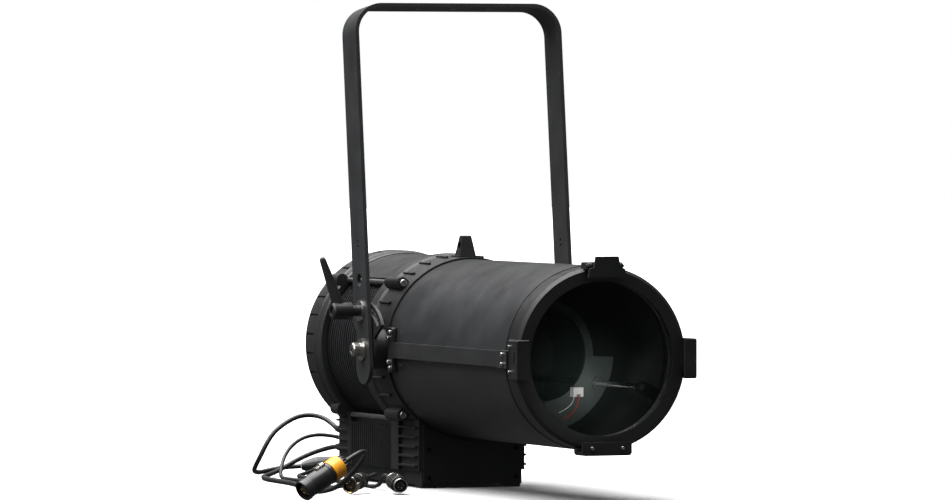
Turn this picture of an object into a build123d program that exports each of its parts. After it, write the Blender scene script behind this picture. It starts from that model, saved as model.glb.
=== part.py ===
"""Yoke-hung profile spot with a motor zoom, drawn as separate pieces, in millimetres.

+Z is up, -Y is the way the light leaves, and X runs along the yoke's pivot axis. Every piece is drawn
with y = 0 at the pivot and z = 0 at the floor, and is moved by ORIGIN_SHIFT when it is written, which
puts the frame's origin under the middle of the object.
"""
from build123d import *

import math
import os

# ---- overall sizes -------------------------------------------------------------------------------
AXIS_HEIGHT = 212.0  # optical axis and yoke pivot above the floor
FRONT_REACH = 528.0  # pivot axis to the front ring's face
SINK_LENGTH = 171.0  # clear length between the two cast frames
FIT = 0.15  # gap between nested pieces that are fixed together
RUN = 0.05  # radial running clearance of a shaft in its hole
GAP = 0.35  # gap between faces of separate moving bodies

# ---- front ring and glass ------------------------------------------------------------------------
RING_RADIUS = 135.0
RING_DEPTH = 41.0
RING_BEVEL = 4.5
OPENING_RADIUS = 113.0
GLASS_RADIUS = 120.5
GLASS_THICKNESS = 4.0
GASKET_THICKNESS = 2.0
LIP_DEPTH = 6.0
RETAINER_WALL = 11.0
RETAINER_DEPTH = 8.0
SPIGOT_LENGTH = 12.0

# ---- barrel --------------------------------------------------------------------------------------
BARREL_RADIUS = 136.0
BARREL_WALL = 3.0

# ---- cast frames ---------------------------------------------------------------------------------
CASTING_FRONT = 23.0  # pivot axis forward to the front frame's front wall
FLANGE_START = 49.0
FLANGE_DEPTH = 30.0
RIM_RADIUS = 144.0
NECK_WALL = 3.0
RIM_BORE = 133.0
STOP_BORE = 128.0
STOP_DEPTH = 6.0
REAR_DEPTH = 64.0
REAR_RADIUS = 145.0
RIB_ANGLE = 12.0
RIB_THICKNESS = 3.0
RIB_HEIGHT = 5.0
LUG_RADIUS = 9.0
LUG_CIRCLE = 146.0
LUG_ANGLES = (-46.5, 46.5)
WALL = 5.0

# ---- driver compartment under the round parts ----------------------------------------------------
BOX_HALF = 92.0
BOX_BOTTOM = 26.0
SILL_HALF = 82.0
FOOT_HEIGHT = 5.0
FOOT_LENGTH = 30.0
FOOT_WIDTH = 26.0
ROOF_DROP = 108.0  # optical axis down to the compartment's roof
ROOF_THICKNESS = 4.0
SIDE_RIB_PITCH = 14.5
SIDE_RIBS = 5
BASE_THICKNESS = 3.0

# ---- round heat sink and tie rods ----------------------------------------------------------------
FIN_RADIUS = 130.0
FIN_THICKNESS = 3.0
FIN_PITCH = 8.4
CORE_RADIUS = 40.0
SINK_PLATE = 12.0
TIE_RADIUS = 4.0
UPPER_TIE = (95.0, 99.5)  # sideways and upwards from the optical axis
LOWER_TIE = (89.0, -109.0)
COVER_RADIUS = 140.0
COVER_WALL = 3.0
COVER_HALF_ANGLE = 41.0

# ---- yoke ----------------------------------------------------------------------------------------
YOKE_WIDTH = 340.0
YOKE_RISE = 527.0  # pivot axis to the crossbar's outer face
BAR_WIDTH = 56.0
BAR_THICKNESS = 6.0
YOKE_CORNER = 45.0
ARM_TAIL = 25.0  # pivot axis down to the centre of the arm's round end
YOKE_TILT = 6.7  # degrees back from upright at rest
TOP_HOLE_RADIUS = 7.0
TOP_HOLE_SPACING = 59.0
STOW_HOLE_RADIUS = 9.5
STOW_HOLE_RISE = 106.0
SMALL_HOLE_RADIUS = 2.5
SMALL_HOLE_RISES = (157.0, 165.0)
NOTCH_RADIUS = 12.0
NOTCH_RISE = 24.0

# ---- pivot and clamp -----------------------------------------------------------------------------
PIVOT_RADIUS = 8.0
PIVOT_HEAD_RADIUS = 10.5
PIVOT_HEAD_LENGTH = 14.0
WASHER_THICKNESS = 3.0
PIVOT_WASHER_RADIUS = 17.0
CLAMP_WASHER_RADIUS = 16.0
BOSS_RADIUS = 30.0
PLATE_THICKNESS = 5.0
PLATE_RADIUS = 71.0
SLOT_CIRCLE = 59.0
SLOT_HALF_ANGLE = 45.0
STUD_RADIUS = 5.0
STUD_HEAD_RADIUS = 10.0
STUD_HEAD_LENGTH = 5.0
LEVER_LENGTH = 82.0
LEVER_HUB_RADIUS = 13.0
LEVER_HUB_LENGTH = 31.0
CORE_SHAFT_RADIUS = 8.0

# ---- colour-frame holder -------------------------------------------------------------------------
HOLDER_REACH = 21.0  # ring face forward to the clips' front
HOLDER_GRIP = 12.0  # ring face back to the clips' rear
CLIP_HALF = 143.0  # optical axis out to the side clips' outer faces
CLIP_WALL = 4.5
CLIP_LIP = 20.0
CLIP_HEIGHT = 59.0
BOTTOM_DROP = 141.0
BOTTOM_WIDTH = 78.0
LATCH_WIDTH = 56.0
LATCH_RISE = 136.5
LATCH_PIN_RADIUS = 2.5

# ---- side rails ----------------------------------------------------------------------------------
RAIL_HEIGHT = 24.0
RAIL_THICKNESS = 5.0
RAIL_BLOCK_LENGTH = 38.0
RAIL_FOOT_LENGTH = 19.0
RAIL_FOOT_HEIGHT = 68.0

# ---- safety eye ----------------------------------------------------------------------------------
EYE_BASE = 26.0
EYE_TOP = 15.0
EYE_DEPTH = 22.0
EYE_HEIGHT = 31.0
EYE_HOLE_RADIUS = 6.0
EYE_HOLE_RISE = 15.0

# ---- optics and zoom -----------------------------------------------------------------------------
GATE_FRONT = -30.0
GATE_THICKNESS = 4.0
CONDENSER_RADIUS = 42.0
ROD_RADIUS = 5.0
ROD_PLACE = (90.0, -45.0)  # sideways and upwards from the optical axis
SCREW_RADIUS = 4.0
SCREW_PLACE = (-75.0, -68.0)
BRACKET_SETBACK = 58.0  # ring face back to the rod bracket's front
BRACKET_THICKNESS = 8.0
CARRIAGE_SETBACK = 228.0
CARRIAGE_THICKNESS = 6.0
LENS_RADIUS = 75.0
BUSH_RADIUS = 9.5
BUSH_LENGTH = 26.0
MOTOR_SIZE = 42.0
MOTOR_LENGTH = 40.0

# ---- rear end ------------------------------------------------------------------------------------
FAN_SIZE = 120.0
FAN_DEPTH = 25.0
FAN_BORE = 57.0
ROTOR_RADIUS = 54.5
BLADES = 7
GRILLE_THICKNESS = 6.0
GLAND_LENGTH = 22.0
GLAND_RADIUS = 9.5
POWER_GLANDS = ((-74.0, 76.0), (-74.0, 48.0))  # sideways and above the floor
DATA_GLANDS = ((-50.0, 58.0), (-50.0, 34.0))
BUTTON_RADIUS = 4.0
BUTTON_PITCH = 11.0
BUTTONS = 4

# ---- cords ---------------------------------------------------------------------------------------
POWER_CORD_RADIUS = 3.75
DATA_CORD_RADIUS = 3.0
PLUG_LENGTH = 90.0
PLUG_RADIUS = 16.0
COUPLER_LENGTH = 60.0
DATA_PLUG_LENGTH = 60.0

# ---- places that follow from the sizes above -----------------------------------------------------
RING_FACE = -FRONT_REACH
SEAM = RING_FACE + RING_DEPTH
FRONT_WALL = -CASTING_FRONT
FLANGE_END = FLANGE_START + FLANGE_DEPTH
REAR_START = FLANGE_END + SINK_LENGTH
REAR_END = REAR_START + REAR_DEPTH
HOLDER_FRONT = RING_FACE - HOLDER_REACH
HOLDER_BACK = RING_FACE + HOLDER_GRIP
ORIGIN_SHIFT = -(HOLDER_FRONT + REAR_END + GLAND_LENGTH) / 2
BORE = BARREL_RADIUS + FIT
BARREL_INSIDE = BARREL_RADIUS - BARREL_WALL
ARM_OUTER = YOKE_WIDTH / 2
ARM_INNER = ARM_OUTER - BAR_THICKNESS
FRICTION_THICKNESS = 1.65
PLATE_OUTER = ARM_INNER - FRICTION_THICKNESS - GAP
PLATE_INNER = PLATE_OUTER - PLATE_THICKNESS
WASHER_OUTER = ARM_OUTER + WASHER_THICKNESS
HUB_INNER = WASHER_OUTER + GAP
ROOF = AXIS_HEIGHT - ROOF_DROP
BOX_WALL_HALF = BOX_HALF - RIB_HEIGHT
RAIL_INNER = BARREL_RADIUS + 1.0
RAIL_OUTER = RAIL_INNER + RAIL_THICKNESS

OUTWARD = {
    "-X": Rot(0, -90, 0),
    "+X": Rot(0, 90, 0),
    "-Y": Rot(90, 0, 0),
    "+Y": Rot(-90, 0, 0),
}


# ---- helpers -------------------------------------------------------------------------------------
def block(x0, x1, y0, y1, z0, z1):
    """Box between two corners."""
    return Pos((x0 + x1) / 2, (y0 + y1) / 2, (z0 + z1) / 2) * Box(x1 - x0, y1 - y0, z1 - z0)


def rod_y(radius, start, end, x=0.0, up=0.0):
    """Cylinder along Y, placed sideways and upwards from the optical axis."""
    return Pos(x, (start + end) / 2, AXIS_HEIGHT + up) * Rot(-90, 0, 0) * Cylinder(radius, end - start)


def rod_x(radius, start, end, y=0.0, up=0.0):
    """Cylinder along X, placed along Y and upwards from the pivot axis."""
    return Pos((start + end) / 2, y, AXIS_HEIGHT + up) * Rot(0, 90, 0) * Cylinder(radius, end - start)


def ring_y(outer, inner, start, end, x=0.0, up=0.0):
    """Tube along Y."""
    return rod_y(outer, start, end, x, up) - rod_y(inner, start - 1, end + 1, x, up)


def ring_x(outer, inner, start, end, y=0.0, up=0.0):
    """Tube along X."""
    return rod_x(outer, start, end, y, up) - rod_x(inner, start - 1, end + 1, y, up)


def turned(*outline):
    """Solid turned about the optical axis from (radius, y) corners."""
    face = make_face(Polyline(*outline, close=True))
    return Pos(0, 0, AXIS_HEIGHT) * revolve(face, Axis.Y, 360)


def around(piece, angle):
    """Piece turned about the optical axis, positive from the top towards +X."""
    return Pos(0, 0, AXIS_HEIGHT) * Rot(0, angle, 0) * Pos(0, 0, -AXIS_HEIGHT) * piece


def with_yoke(piece):
    """Piece of the upright yoke leant back about the pivot axis."""
    return Pos(0, 0, AXIS_HEIGHT) * Rot(-YOKE_TILT, 0, 0) * Pos(0, 0, -AXIS_HEIGHT) * piece


def mirrored(piece):
    """The same piece on the other side of the object."""
    return mirror(piece, about=Plane.YZ)


def both_sides(piece):
    """The piece and its mirror image as two solids."""
    return Compound(children=[*piece.solids(), *mirrored(piece).solids()])


def group(*pieces):
    """Several pieces that share one node."""
    return Compound(children=[solid for piece in pieces for solid in piece.solids()])


# ---- fasteners -----------------------------------------------------------------------------------
def socket_screw(way, x, y, z, radius=4.5, length=12.0):
    """Cap screw with a hexagon socket, seated at a point and facing the given way."""
    head = Pos(0, 0, radius / 2) * Cylinder(radius, radius)
    head = chamfer(head.edges().group_by(Axis.Z)[-1], radius * 0.12)
    shank = Pos(0, 0, -length / 2) * Cylinder(radius * 0.55, length)
    socket = Pos(0, 0, radius * 0.45) * extrude(RegularPolygon(radius * 0.5, 6), radius)
    return Pos(x, y, z) * OUTWARD[way] * (head + shank - socket)


def screw_hole(way, x, y, z, radius=4.5, length=12.0):
    """Space for the shank of that screw."""
    return Pos(x, y, z) * OUTWARD[way] * Pos(0, 0, -length / 2) * Cylinder(radius * 0.55 + FIT, length + 1)


def screw_places():
    """Every visible screw: its way out, its seat, its head radius and its shank length."""
    rail_foot_middle = FRONT_WALL - 19.5
    rail_block_middle = HOLDER_BACK + RAIL_BLOCK_LENGTH * 0.4
    places = []
    for way, side in (("-X", -1), ("+X", 1)):
        for up in (-27, -18, 18, 27):
            across = 3.5 if abs(up) < 20 else -3.5
            places.append((way, side * RAIL_OUTER, rail_foot_middle + across, AXIS_HEIGHT + up, 3.6, 5))
        for up in (-7, 7):
            places.append((way, side * (RAIL_OUTER + 4), rail_block_middle, AXIS_HEIGHT + up, 3.2, 7))
        for up in (-18, 19):
            places.append((way, side * CLIP_HALF, RING_FACE + 6, AXIS_HEIGHT + up, 2.6, 9))
        for angle in LUG_ANGLES[1:] + (180 - LUG_ANGLES[1],):
            x = side * LUG_CIRCLE * math.sin(math.radians(angle))
            z = AXIS_HEIGHT + LUG_CIRCLE * math.cos(math.radians(angle))
            places.append(("-Y", x, -4, z, 5.5, 14))
    for x in (-24, 24):
        places.append(("-Y", x, HOLDER_FRONT, AXIS_HEIGHT - BOTTOM_DROP + 11, 2.6, 3.5))
    for x in (-72, 72):
        for z in (16, 60):
            places.append(("-Y", x, FRONT_WALL - 3, z, 3.0, 6))
    return places


def screws():
    """All visible screws in one node."""
    return group(*[socket_screw(*place) for place in screw_places()])


def cut_screws(piece):
    """Piece with the shank holes of every screw that reaches it."""
    box = piece.bounding_box()
    for place in screw_places():
        way, x, y, z, radius, length = place
        inside_x = box.min.X - length <= x <= box.max.X + length
        inside_y = box.min.Y - length <= y <= box.max.Y + length
        inside_z = box.min.Z - length <= z <= box.max.Z + length
        if inside_x and inside_y and inside_z:
            piece = piece - screw_hole(way, x, y, z, radius, length)
    return piece


# ---- front ring ----------------------------------------------------------------------------------
def front_ring():
    """Cast ring that holds the glass and plugs into the barrel."""
    seat = GLASS_RADIUS + FIT
    seat_end = LIP_DEPTH + GASKET_THICKNESS + GLASS_THICKNESS
    bore = GLASS_RADIUS + 4.5
    spigot = BARREL_INSIDE - FIT
    outline = [
        (OPENING_RADIUS, 0),
        (RING_RADIUS - RING_BEVEL, 0),
        (RING_RADIUS, RING_BEVEL),
        (RING_RADIUS, RING_DEPTH),
        (spigot, RING_DEPTH),
        (spigot, RING_DEPTH + SPIGOT_LENGTH),
        (bore, RING_DEPTH + SPIGOT_LENGTH),
        (bore, seat_end),
        (seat, seat_end),
        (seat, LIP_DEPTH),
        (OPENING_RADIUS, LIP_DEPTH),
    ]
    return turned(*[(r, RING_FACE + y) for r, y in outline])


def glass_gasket():
    start = RING_FACE + LIP_DEPTH
    return ring_y(GLASS_RADIUS, OPENING_RADIUS + 1.5, start, start + GASKET_THICKNESS)


def front_glass():
    start = RING_FACE + LIP_DEPTH + GASKET_THICKNESS
    return rod_y(GLASS_RADIUS, start, start + GLASS_THICKNESS)


def glass_retainer():
    start = RING_FACE + LIP_DEPTH + GASKET_THICKNESS + GLASS_THICKNESS
    outer = GLASS_RADIUS + 4.5 - FIT
    return ring_y(outer, outer - RETAINER_WALL, start, start + RETAINER_DEPTH)


def barrel():
    """Plain tube from the ring's shoulder to the stop in the front frame."""
    return ring_y(BARREL_RADIUS, BARREL_INSIDE, SEAM, FLANGE_START - STOP_DEPTH + 1)


# ---- colour-frame holder -------------------------------------------------------------------------
def side_clip(side):
    """Channel on the ring's side that one edge of a colour frame slides down into."""
    inner = CLIP_HALF - CLIP_LIP
    foot = AXIS_HEIGHT - 30
    body = block(inner, CLIP_HALF, HOLDER_FRONT, HOLDER_BACK, foot, foot + CLIP_HEIGHT)
    body = fillet(body.edges().filter_by(Axis.Y).group_by(Axis.X)[-1], 3)
    body = fillet(body.edges().filter_by(Axis.Z).sort_by(Axis.Y)[:2], 1.5)
    channel = block(
        inner - 1, CLIP_HALF - CLIP_WALL, HOLDER_FRONT + 4, RING_FACE, foot - 1, foot + CLIP_HEIGHT + 1
    )
    body = body - channel - rod_y(RING_RADIUS + FIT, RING_FACE, HOLDER_BACK + 1)
    slot = block(CLIP_HALF - 1.5, CLIP_HALF + 1, RING_FACE - 13, RING_FACE - 9, foot + 26, foot + 42)
    body = cut_screws(body - slot)
    return body if side > 0 else cut_screws(mirrored(body))


def clip_bottom():
    """Channel under the ring that carries the lower edge of a colour frame."""
    low = AXIS_HEIGHT - BOTTOM_DROP
    half = BOTTOM_WIDTH / 2
    body = block(-half, half, HOLDER_FRONT, HOLDER_BACK, low, low + CLIP_LIP)
    body = fillet(body.edges().filter_by(Axis.Y).group_by(Axis.Z)[0], 5)
    channel = block(-half - 1, half + 1, HOLDER_FRONT + 4, RING_FACE, low + CLIP_WALL, low + CLIP_LIP + 1)
    return cut_screws(body - channel - rod_y(RING_RADIUS + FIT, RING_FACE, HOLDER_BACK + 1))


def latch_base():
    """Hinge block on top of the ring, with its pin."""
    top = AXIS_HEIGHT + LATCH_RISE
    half = LATCH_WIDTH / 2
    pad = block(-half, half, RING_FACE, HOLDER_BACK, AXIS_HEIGHT + 120, top + 5)
    pad = pad - rod_y(RING_RADIUS + FIT, RING_FACE - 1, HOLDER_BACK + 1)
    ears = Part()
    for side in (-1, 1):
        start = side * (half - 4) - 4
        ears += block(start, start + 8, RING_FACE - 10, RING_FACE + 3, top - 6, top + 5)
        ears += rod_x(5.5, start, start + 8, RING_FACE - 10, LATCH_RISE - 0.5)
    pin_hole = rod_x(LATCH_PIN_RADIUS, -half - 9, half + 9, RING_FACE - 10, LATCH_RISE - 0.5)
    pin = rod_x(LATCH_PIN_RADIUS, -half - 2, half + 2, RING_FACE - 10, LATCH_RISE - 0.5)
    body = pad + ears - pin_hole
    body = fillet(body.edges().filter_by(Axis.Y).group_by(Axis.Z)[-1], 2)
    return group(body, pin)


def top_latch():
    """Flap that closes the top of the colour-frame slot and swings up about its pin."""
    pivot_up = LATCH_RISE - 0.5
    pivot_y = RING_FACE - 10
    clear = LATCH_WIDTH / 2 - 8 - GAP
    knuckle = rod_x(5.5, -clear, clear, pivot_y, pivot_up)
    neck = block(-clear, clear, HOLDER_FRONT, pivot_y, AXIS_HEIGHT + pivot_up - 5, AXIS_HEIGHT + pivot_up + 5)
    plate = Polyline(
        (-30, 119),
        (30, 119),
        (28, 132),
        (21, 134),
        (18, 150),
        (-18, 150),
        (-21, 134),
        (-28, 132),
        close=True,
    )
    face = Pos(0, AXIS_HEIGHT) * make_face(plate)
    flap = Pos(0, HOLDER_FRONT, 0) * Rot(90, 0, 0) * extrude(face, 3.5)
    flap = Pos(0, 3.5, 0) * flap
    return flap + neck + knuckle - rod_x(LATCH_PIN_RADIUS + RUN, -clear - 1, clear + 1, pivot_y, pivot_up)


# ---- side rails ----------------------------------------------------------------------------------
def side_rails():
    """Flat bars along the barrel that tie the front ring to the front frame."""
    half = RAIL_HEIGHT / 2
    foot_front = FRONT_WALL - 10 - RAIL_FOOT_LENGTH
    rear = FRONT_WALL - 10
    bar = block(RAIL_INNER, RAIL_OUTER, HOLDER_BACK + 2, rear, AXIS_HEIGHT - half, AXIS_HEIGHT + half)
    end = block(
        RAIL_INNER,
        RAIL_OUTER + 4,
        HOLDER_BACK + FIT,
        HOLDER_BACK + RAIL_BLOCK_LENGTH,
        AXIS_HEIGHT - half - 1,
        AXIS_HEIGHT + half + 1,
    )
    end = chamfer(end.edges().filter_by(Axis.X).group_by(Axis.Y)[-1], 2)
    foot_half = RAIL_FOOT_HEIGHT / 2
    foot = block(
        RAIL_INNER, RAIL_OUTER, foot_front, rear, AXIS_HEIGHT - foot_half, AXIS_HEIGHT + foot_half
    )
    foot = fillet(foot.edges().filter_by(Axis.X), 4)
    rail = cut_screws(bar + end + foot)
    return both_sides(rail)


# ---- front frame ---------------------------------------------------------------------------------
def compartment_shell(y0, y1, wall_at):
    """Lower box and sill of one cast frame, open below and at the side away from wall_at."""
    outer = block(-BOX_WALL_HALF, BOX_WALL_HALF, y0, y1, BOX_BOTTOM, ROOF + 14)
    sill = block(-SILL_HALF, SILL_HALF, y0, y1, FOOT_HEIGHT, BOX_BOTTOM)
    inner_front = y0 + WALL if wall_at == "front" else y0 - 1
    inner_back = y1 + 1 if wall_at == "front" else y1 - WALL
    room = block(
        -BOX_WALL_HALF + WALL, BOX_WALL_HALF - WALL, inner_front, inner_back, BOX_BOTTOM + WALL, ROOF + 15
    )
    throat = block(
        -SILL_HALF + WALL, SILL_HALF - WALL, inner_front, inner_back, FOOT_HEIGHT - 1, BOX_BOTTOM + WALL + 1
    )
    return outer + sill - room - throat


def side_ribs(y0, y1):
    """Flat ribs along both sides of a lower box."""
    ribs = Part()
    for index in range(SIDE_RIBS):
        z = BOX_BOTTOM + 8 + index * SIDE_RIB_PITCH
        for side in (-1, 1):
            start = min(side * (BOX_WALL_HALF - 1), side * BOX_HALF)
            ribs += block(start, start + RIB_HEIGHT + 1, y0, y1, z - RIB_THICKNESS / 2, z + RIB_THICKNESS / 2)
    return ribs


def side_posts(y0, y1):
    """Upright flanges at the corners of a lower box, full width."""
    posts = block(-BOX_HALF, BOX_HALF, y0, y1, BOX_BOTTOM, ROOF + 8)
    inner = BOX_WALL_HALF - WALL
    return posts - block(-inner, inner, y0 - 1, y1 + 1, BOX_BOTTOM - 1, ROOF + 9)


def rim_ribs(angles, y0, y1, foot, tip):
    """Short ribs along Y on a round rim, between two radii."""
    ribs = Part()
    for angle in angles:
        rib = block(-RIB_THICKNESS / 2, RIB_THICKNESS / 2, y0, y1, AXIS_HEIGHT + foot, AXIS_HEIGHT + tip)
        ribs += around(rib, angle)
    return ribs


def lugs(y0, y1):
    """Round lugs on a rim for the long tie bolts."""
    found = Part()
    for angle in LUG_ANGLES + (180 - LUG_ANGLES[1], LUG_ANGLES[1] - 180):
        lug = Pos(0, (y0 + y1) / 2, AXIS_HEIGHT + LUG_CIRCLE) * Rot(-90, 0, 0) * Cylinder(LUG_RADIUS, y1 - y0)
        root = block(-LUG_RADIUS, LUG_RADIUS, y0, y1, AXIS_HEIGHT + BORE, AXIS_HEIGHT + LUG_CIRCLE)
        found += around(lug + root, angle)
    return found


def front_frame():
    """Cast keyhole frame: neck round the barrel, rim, pivot bosses and the driver box's front."""
    neck = NECK_WALL + BORE
    stop = FLANGE_START - STOP_DEPTH + 1 + FIT
    collar = turned(
        (BORE, FRONT_WALL + 3),
        (neck, FRONT_WALL + 3),
        (neck + 2, FLANGE_START - 5),
        (RIM_RADIUS, FLANGE_START),
        (RIM_RADIUS, FLANGE_END - 3),
        (RIM_RADIUS - 2, FLANGE_END),
        (RIM_BORE, FLANGE_END),
        (RIM_BORE, stop + STOP_DEPTH),
        (STOP_BORE, stop + STOP_DEPTH),
        (STOP_BORE, stop),
        (BORE, stop),
    )
    box = compartment_shell(FRONT_WALL, FLANGE_END, "front")
    box += side_ribs(FRONT_WALL + 4, FLANGE_START + 1)
    box += side_posts(FLANGE_START, FLANGE_END)
    bosses = Part()
    for side in (-1, 1):
        outer = side * PLATE_INNER
        inner = side * (BARREL_RADIUS - 16)
        bosses += rod_x(BOSS_RADIUS, min(inner, outer), max(inner, outer))
        pad_outer = side * RAIL_INNER
        bosses += block(
            min(inner, pad_outer),
            max(inner, pad_outer),
            FRONT_WALL - 10 - RAIL_FOOT_LENGTH,
            FRONT_WALL + 12,
            AXIS_HEIGHT - RAIL_FOOT_HEIGHT / 2,
            AXIS_HEIGHT + RAIL_FOOT_HEIGHT / 2,
        )
    eye_pad = block(-17, 17, -14, 20, AXIS_HEIGHT + BARREL_RADIUS - 6, eye_seat())
    top_angles = [RIB_ANGLE * step for step in range(-6, 7) if step]
    ribs = rim_ribs(top_angles + [-120, -108, 108, 120], 4, FLANGE_START + 1, BORE + 1, RIM_RADIUS - 0.5)
    room = rod_y(BORE + NECK_WALL / 2, FRONT_WALL - 40, FLANGE_END + 1)
    frame = (box + bosses + eye_pad + lugs(-4, FLANGE_START + 1) + ribs - room) + collar
    for side in (-1, 1):
        frame -= rod_x(PIVOT_RADIUS + FIT, min(side * 100, side * 200), max(side * 100, side * 200))
    return cut_screws(frame)


def eye_seat():
    """Height of the flat pad that the safety eye stands on."""
    return AXIS_HEIGHT + BORE + NECK_WALL + 2


def safety_eye():
    """Tapered lug with a hole for a safety bond's carabiner."""
    base = Pos(0, 3, eye_seat()) * Rectangle(EYE_BASE, EYE_DEPTH)
    top = Pos(0, 3, eye_seat() + EYE_HEIGHT) * Rectangle(EYE_TOP, EYE_DEPTH * 0.45)
    lug = loft(Sketch() + [base, top])
    lug = fillet(lug.faces().sort_by(Axis.Z)[-1].edges(), 2.5)
    return lug - rod_x(EYE_HOLE_RADIUS, -30, 30, 3, eye_seat() - AXIS_HEIGHT + EYE_HOLE_RISE)


def quadrant_plates():
    """Pivot plates with a curved slot that the clamp studs run in."""
    half = SLOT_HALF_ANGLE + 12
    reach = PLATE_RADIUS * 2
    corner = (reach * math.sin(math.radians(half)), reach * math.cos(math.radians(half)))
    wedge = make_face(Polyline((0, 0), corner, (-corner[0], corner[1]), close=True))
    outline = Circle(PLATE_RADIUS) & wedge
    outline = outline + Circle(BOSS_RADIUS + 2)
    slot_arc = CenterArc((0, 0), SLOT_CIRCLE, 90 - SLOT_HALF_ANGLE, 2 * SLOT_HALF_ANGLE)
    outline = outline - SlotArc(slot_arc, 2 * (STUD_RADIUS + 0.6)) - Circle(PIVOT_RADIUS + FIT)
    plate = extrude(Plane.YZ * outline, PLATE_THICKNESS)
    return both_sides(Pos(PLATE_INNER, 0, AXIS_HEIGHT) * plate)


def pivot_bolts():
    """Shoulder bolts that carry the housing in the yoke."""
    shank = rod_x(PIVOT_RADIUS, BARREL_RADIUS + 3, HUB_INNER + 1)
    head = rod_x(PIVOT_HEAD_RADIUS, HUB_INNER, HUB_INNER + PIVOT_HEAD_LENGTH)
    head = chamfer(head.edges().group_by(Axis.X)[-1], 1.5)
    socket = Pos(HUB_INNER + PIVOT_HEAD_LENGTH - 7, 0, AXIS_HEIGHT) * Rot(0, 90, 0)
    return both_sides(shank + head - socket * extrude(RegularPolygon(5.5, 6), 8))


# ---- driver compartment --------------------------------------------------------------------------
def driver_housing():
    """Extruded tunnel between the frames, with upright cooling fins on both sides."""
    outer = SILL_HALF + 2
    shell = block(-outer, outer, FLANGE_END, REAR_START, BOX_BOTTOM, ROOF)
    shell -= block(
        -outer + WALL, outer - WALL, FLANGE_END - 1, REAR_START + 1, BOX_BOTTOM - 1, ROOF - ROOF_THICKNESS
    )
    count = int(SINK_LENGTH // 8.5)
    pitch = SINK_LENGTH / count
    for index in range(count):
        y = FLANGE_END + (index + 0.5) * pitch
        for side in (-1, 1):
            start = min(side * (outer - 1), side * BOX_HALF)
            length = BOX_HALF - outer + 1
            shell += block(start, start + length, y - 1.5, y + 1.5, BOX_BOTTOM, ROOF - 12)
    return shell


def base_plate():
    """Floor of the compartment with the low side walls between the frames."""
    inner = SILL_HALF - WALL - FIT
    top = FOOT_HEIGHT + BASE_THICKNESS
    plate = block(-inner, inner, FRONT_WALL + WALL + FIT, REAR_END - WALL - FIT, FOOT_HEIGHT, top)
    walls = block(-SILL_HALF, SILL_HALF, FLANGE_END, REAR_START, FOOT_HEIGHT, BOX_BOTTOM)
    walls -= block(-inner + 1, inner - 1, FLANGE_END - 1, REAR_START + 1, FOOT_HEIGHT - 1, BOX_BOTTOM + 1)
    return plate + walls


def front_cover():
    """Plain panel screwed over the compartment's front."""
    panel = block(-SILL_HALF + 2, SILL_HALF - 2, FRONT_WALL - 3, FRONT_WALL, FOOT_HEIGHT + 3, ROOF)
    panel = fillet(panel.edges().filter_by(Axis.Y), 3)
    return cut_screws(panel - rod_y(BORE + NECK_WALL + 1, FRONT_WALL - 4, FRONT_WALL + 1))


def feet():
    """Four rubber feet under the frames' sills."""
    found = []
    half_width = FOOT_WIDTH / 2
    half_length = FOOT_LENGTH / 2
    for x in (half_width - SILL_HALF, SILL_HALF - half_width):
        for y in (FRONT_WALL + 2 + half_length, REAR_END - 6 - half_length):
            foot = block(
                x - half_width, x + half_width, y - half_length, y + half_length, 0, FOOT_HEIGHT
            )
            foot = fillet(foot.edges().filter_by(Axis.Z), 4)
            found.append(chamfer(foot.edges().group_by(Axis.Z)[0], 1))
    return group(*found)


def power_supply():
    """Boxed supply with its terminal strip."""
    floor = FOOT_HEIGHT + BASE_THICKNESS
    case = block(-70, -6, FLANGE_END + 12, REAR_START - 12, floor, floor + 48)
    return case + block(-64, -12, FLANGE_END + 4, FLANGE_END + 13, floor, floor + 20)


def control_board():
    """Driver board on four pillars with its larger components."""
    floor = FOOT_HEIGHT + BASE_THICKNESS
    y0 = FLANGE_END + 16
    y1 = REAR_START - 16
    board = block(6, 68, y0, y1, floor + 6, floor + 8)
    for x in (11, 63):
        for y in (y0 + 6, y1 - 6):
            board += Pos(x, y, floor + 3.5) * Cylinder(3, 7)
    for index in range(4):
        y = y0 + 24 + index * 28
        board += Pos(22, y, floor + 17) * Cylinder(7, 20)
        board += block(40, 60, y - 8, y + 8, floor + 7, floor + 16)
    return board


# ---- heat sink -----------------------------------------------------------------------------------
def heat_sink():
    """Disc fins on a round core, flat below where the compartment's roof passes."""
    plate_front = FLANGE_END - SINK_PLATE
    sink = rod_y(CORE_RADIUS, plate_front, REAR_START)
    plate = rod_y(RIM_BORE - 3, plate_front, FLANGE_END - FIT)
    count = int((SINK_LENGTH - 6) // FIN_PITCH)
    pitch = (SINK_LENGTH - FIN_THICKNESS) / count
    trim = block(-200, 200, FLANGE_END, REAR_START + 1, ROOF + 1, AXIS_HEIGHT + 200)
    fins = Part()
    for index in range(1, count + 1):
        start = FLANGE_END + index * pitch
        fins += rod_y(FIN_RADIUS, start, start + FIN_THICKNESS)
    return sink + plate + (fins & trim)


def sink_cover():
    """Arched sheet over the top of the fins, from rim to rim."""
    inner = COVER_RADIUS - COVER_WALL
    arch = ring_y(COVER_RADIUS, inner, FLANGE_END + FIT, REAR_START - FIT)
    reach = 300.0
    corner = reach * math.tan(math.radians(COVER_HALF_ANGLE))
    wedge = make_face(Polyline((0, 0), (corner, reach), (-corner, reach), close=True))
    keep = Pos(0, REAR_START + 1, AXIS_HEIGHT) * Rot(90, 0, 0) * extrude(wedge, SINK_LENGTH + 2)
    return arch & keep


def tie_rods():
    """Four long studs that pull the two frames together."""
    found = []
    for sideways, upwards in (UPPER_TIE, LOWER_TIE):
        for side in (-1, 1):
            found.append(rod_y(TIE_RADIUS, FLANGE_END + FIT, REAR_START - FIT, side * sideways, upwards))
    return group(*found)


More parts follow.
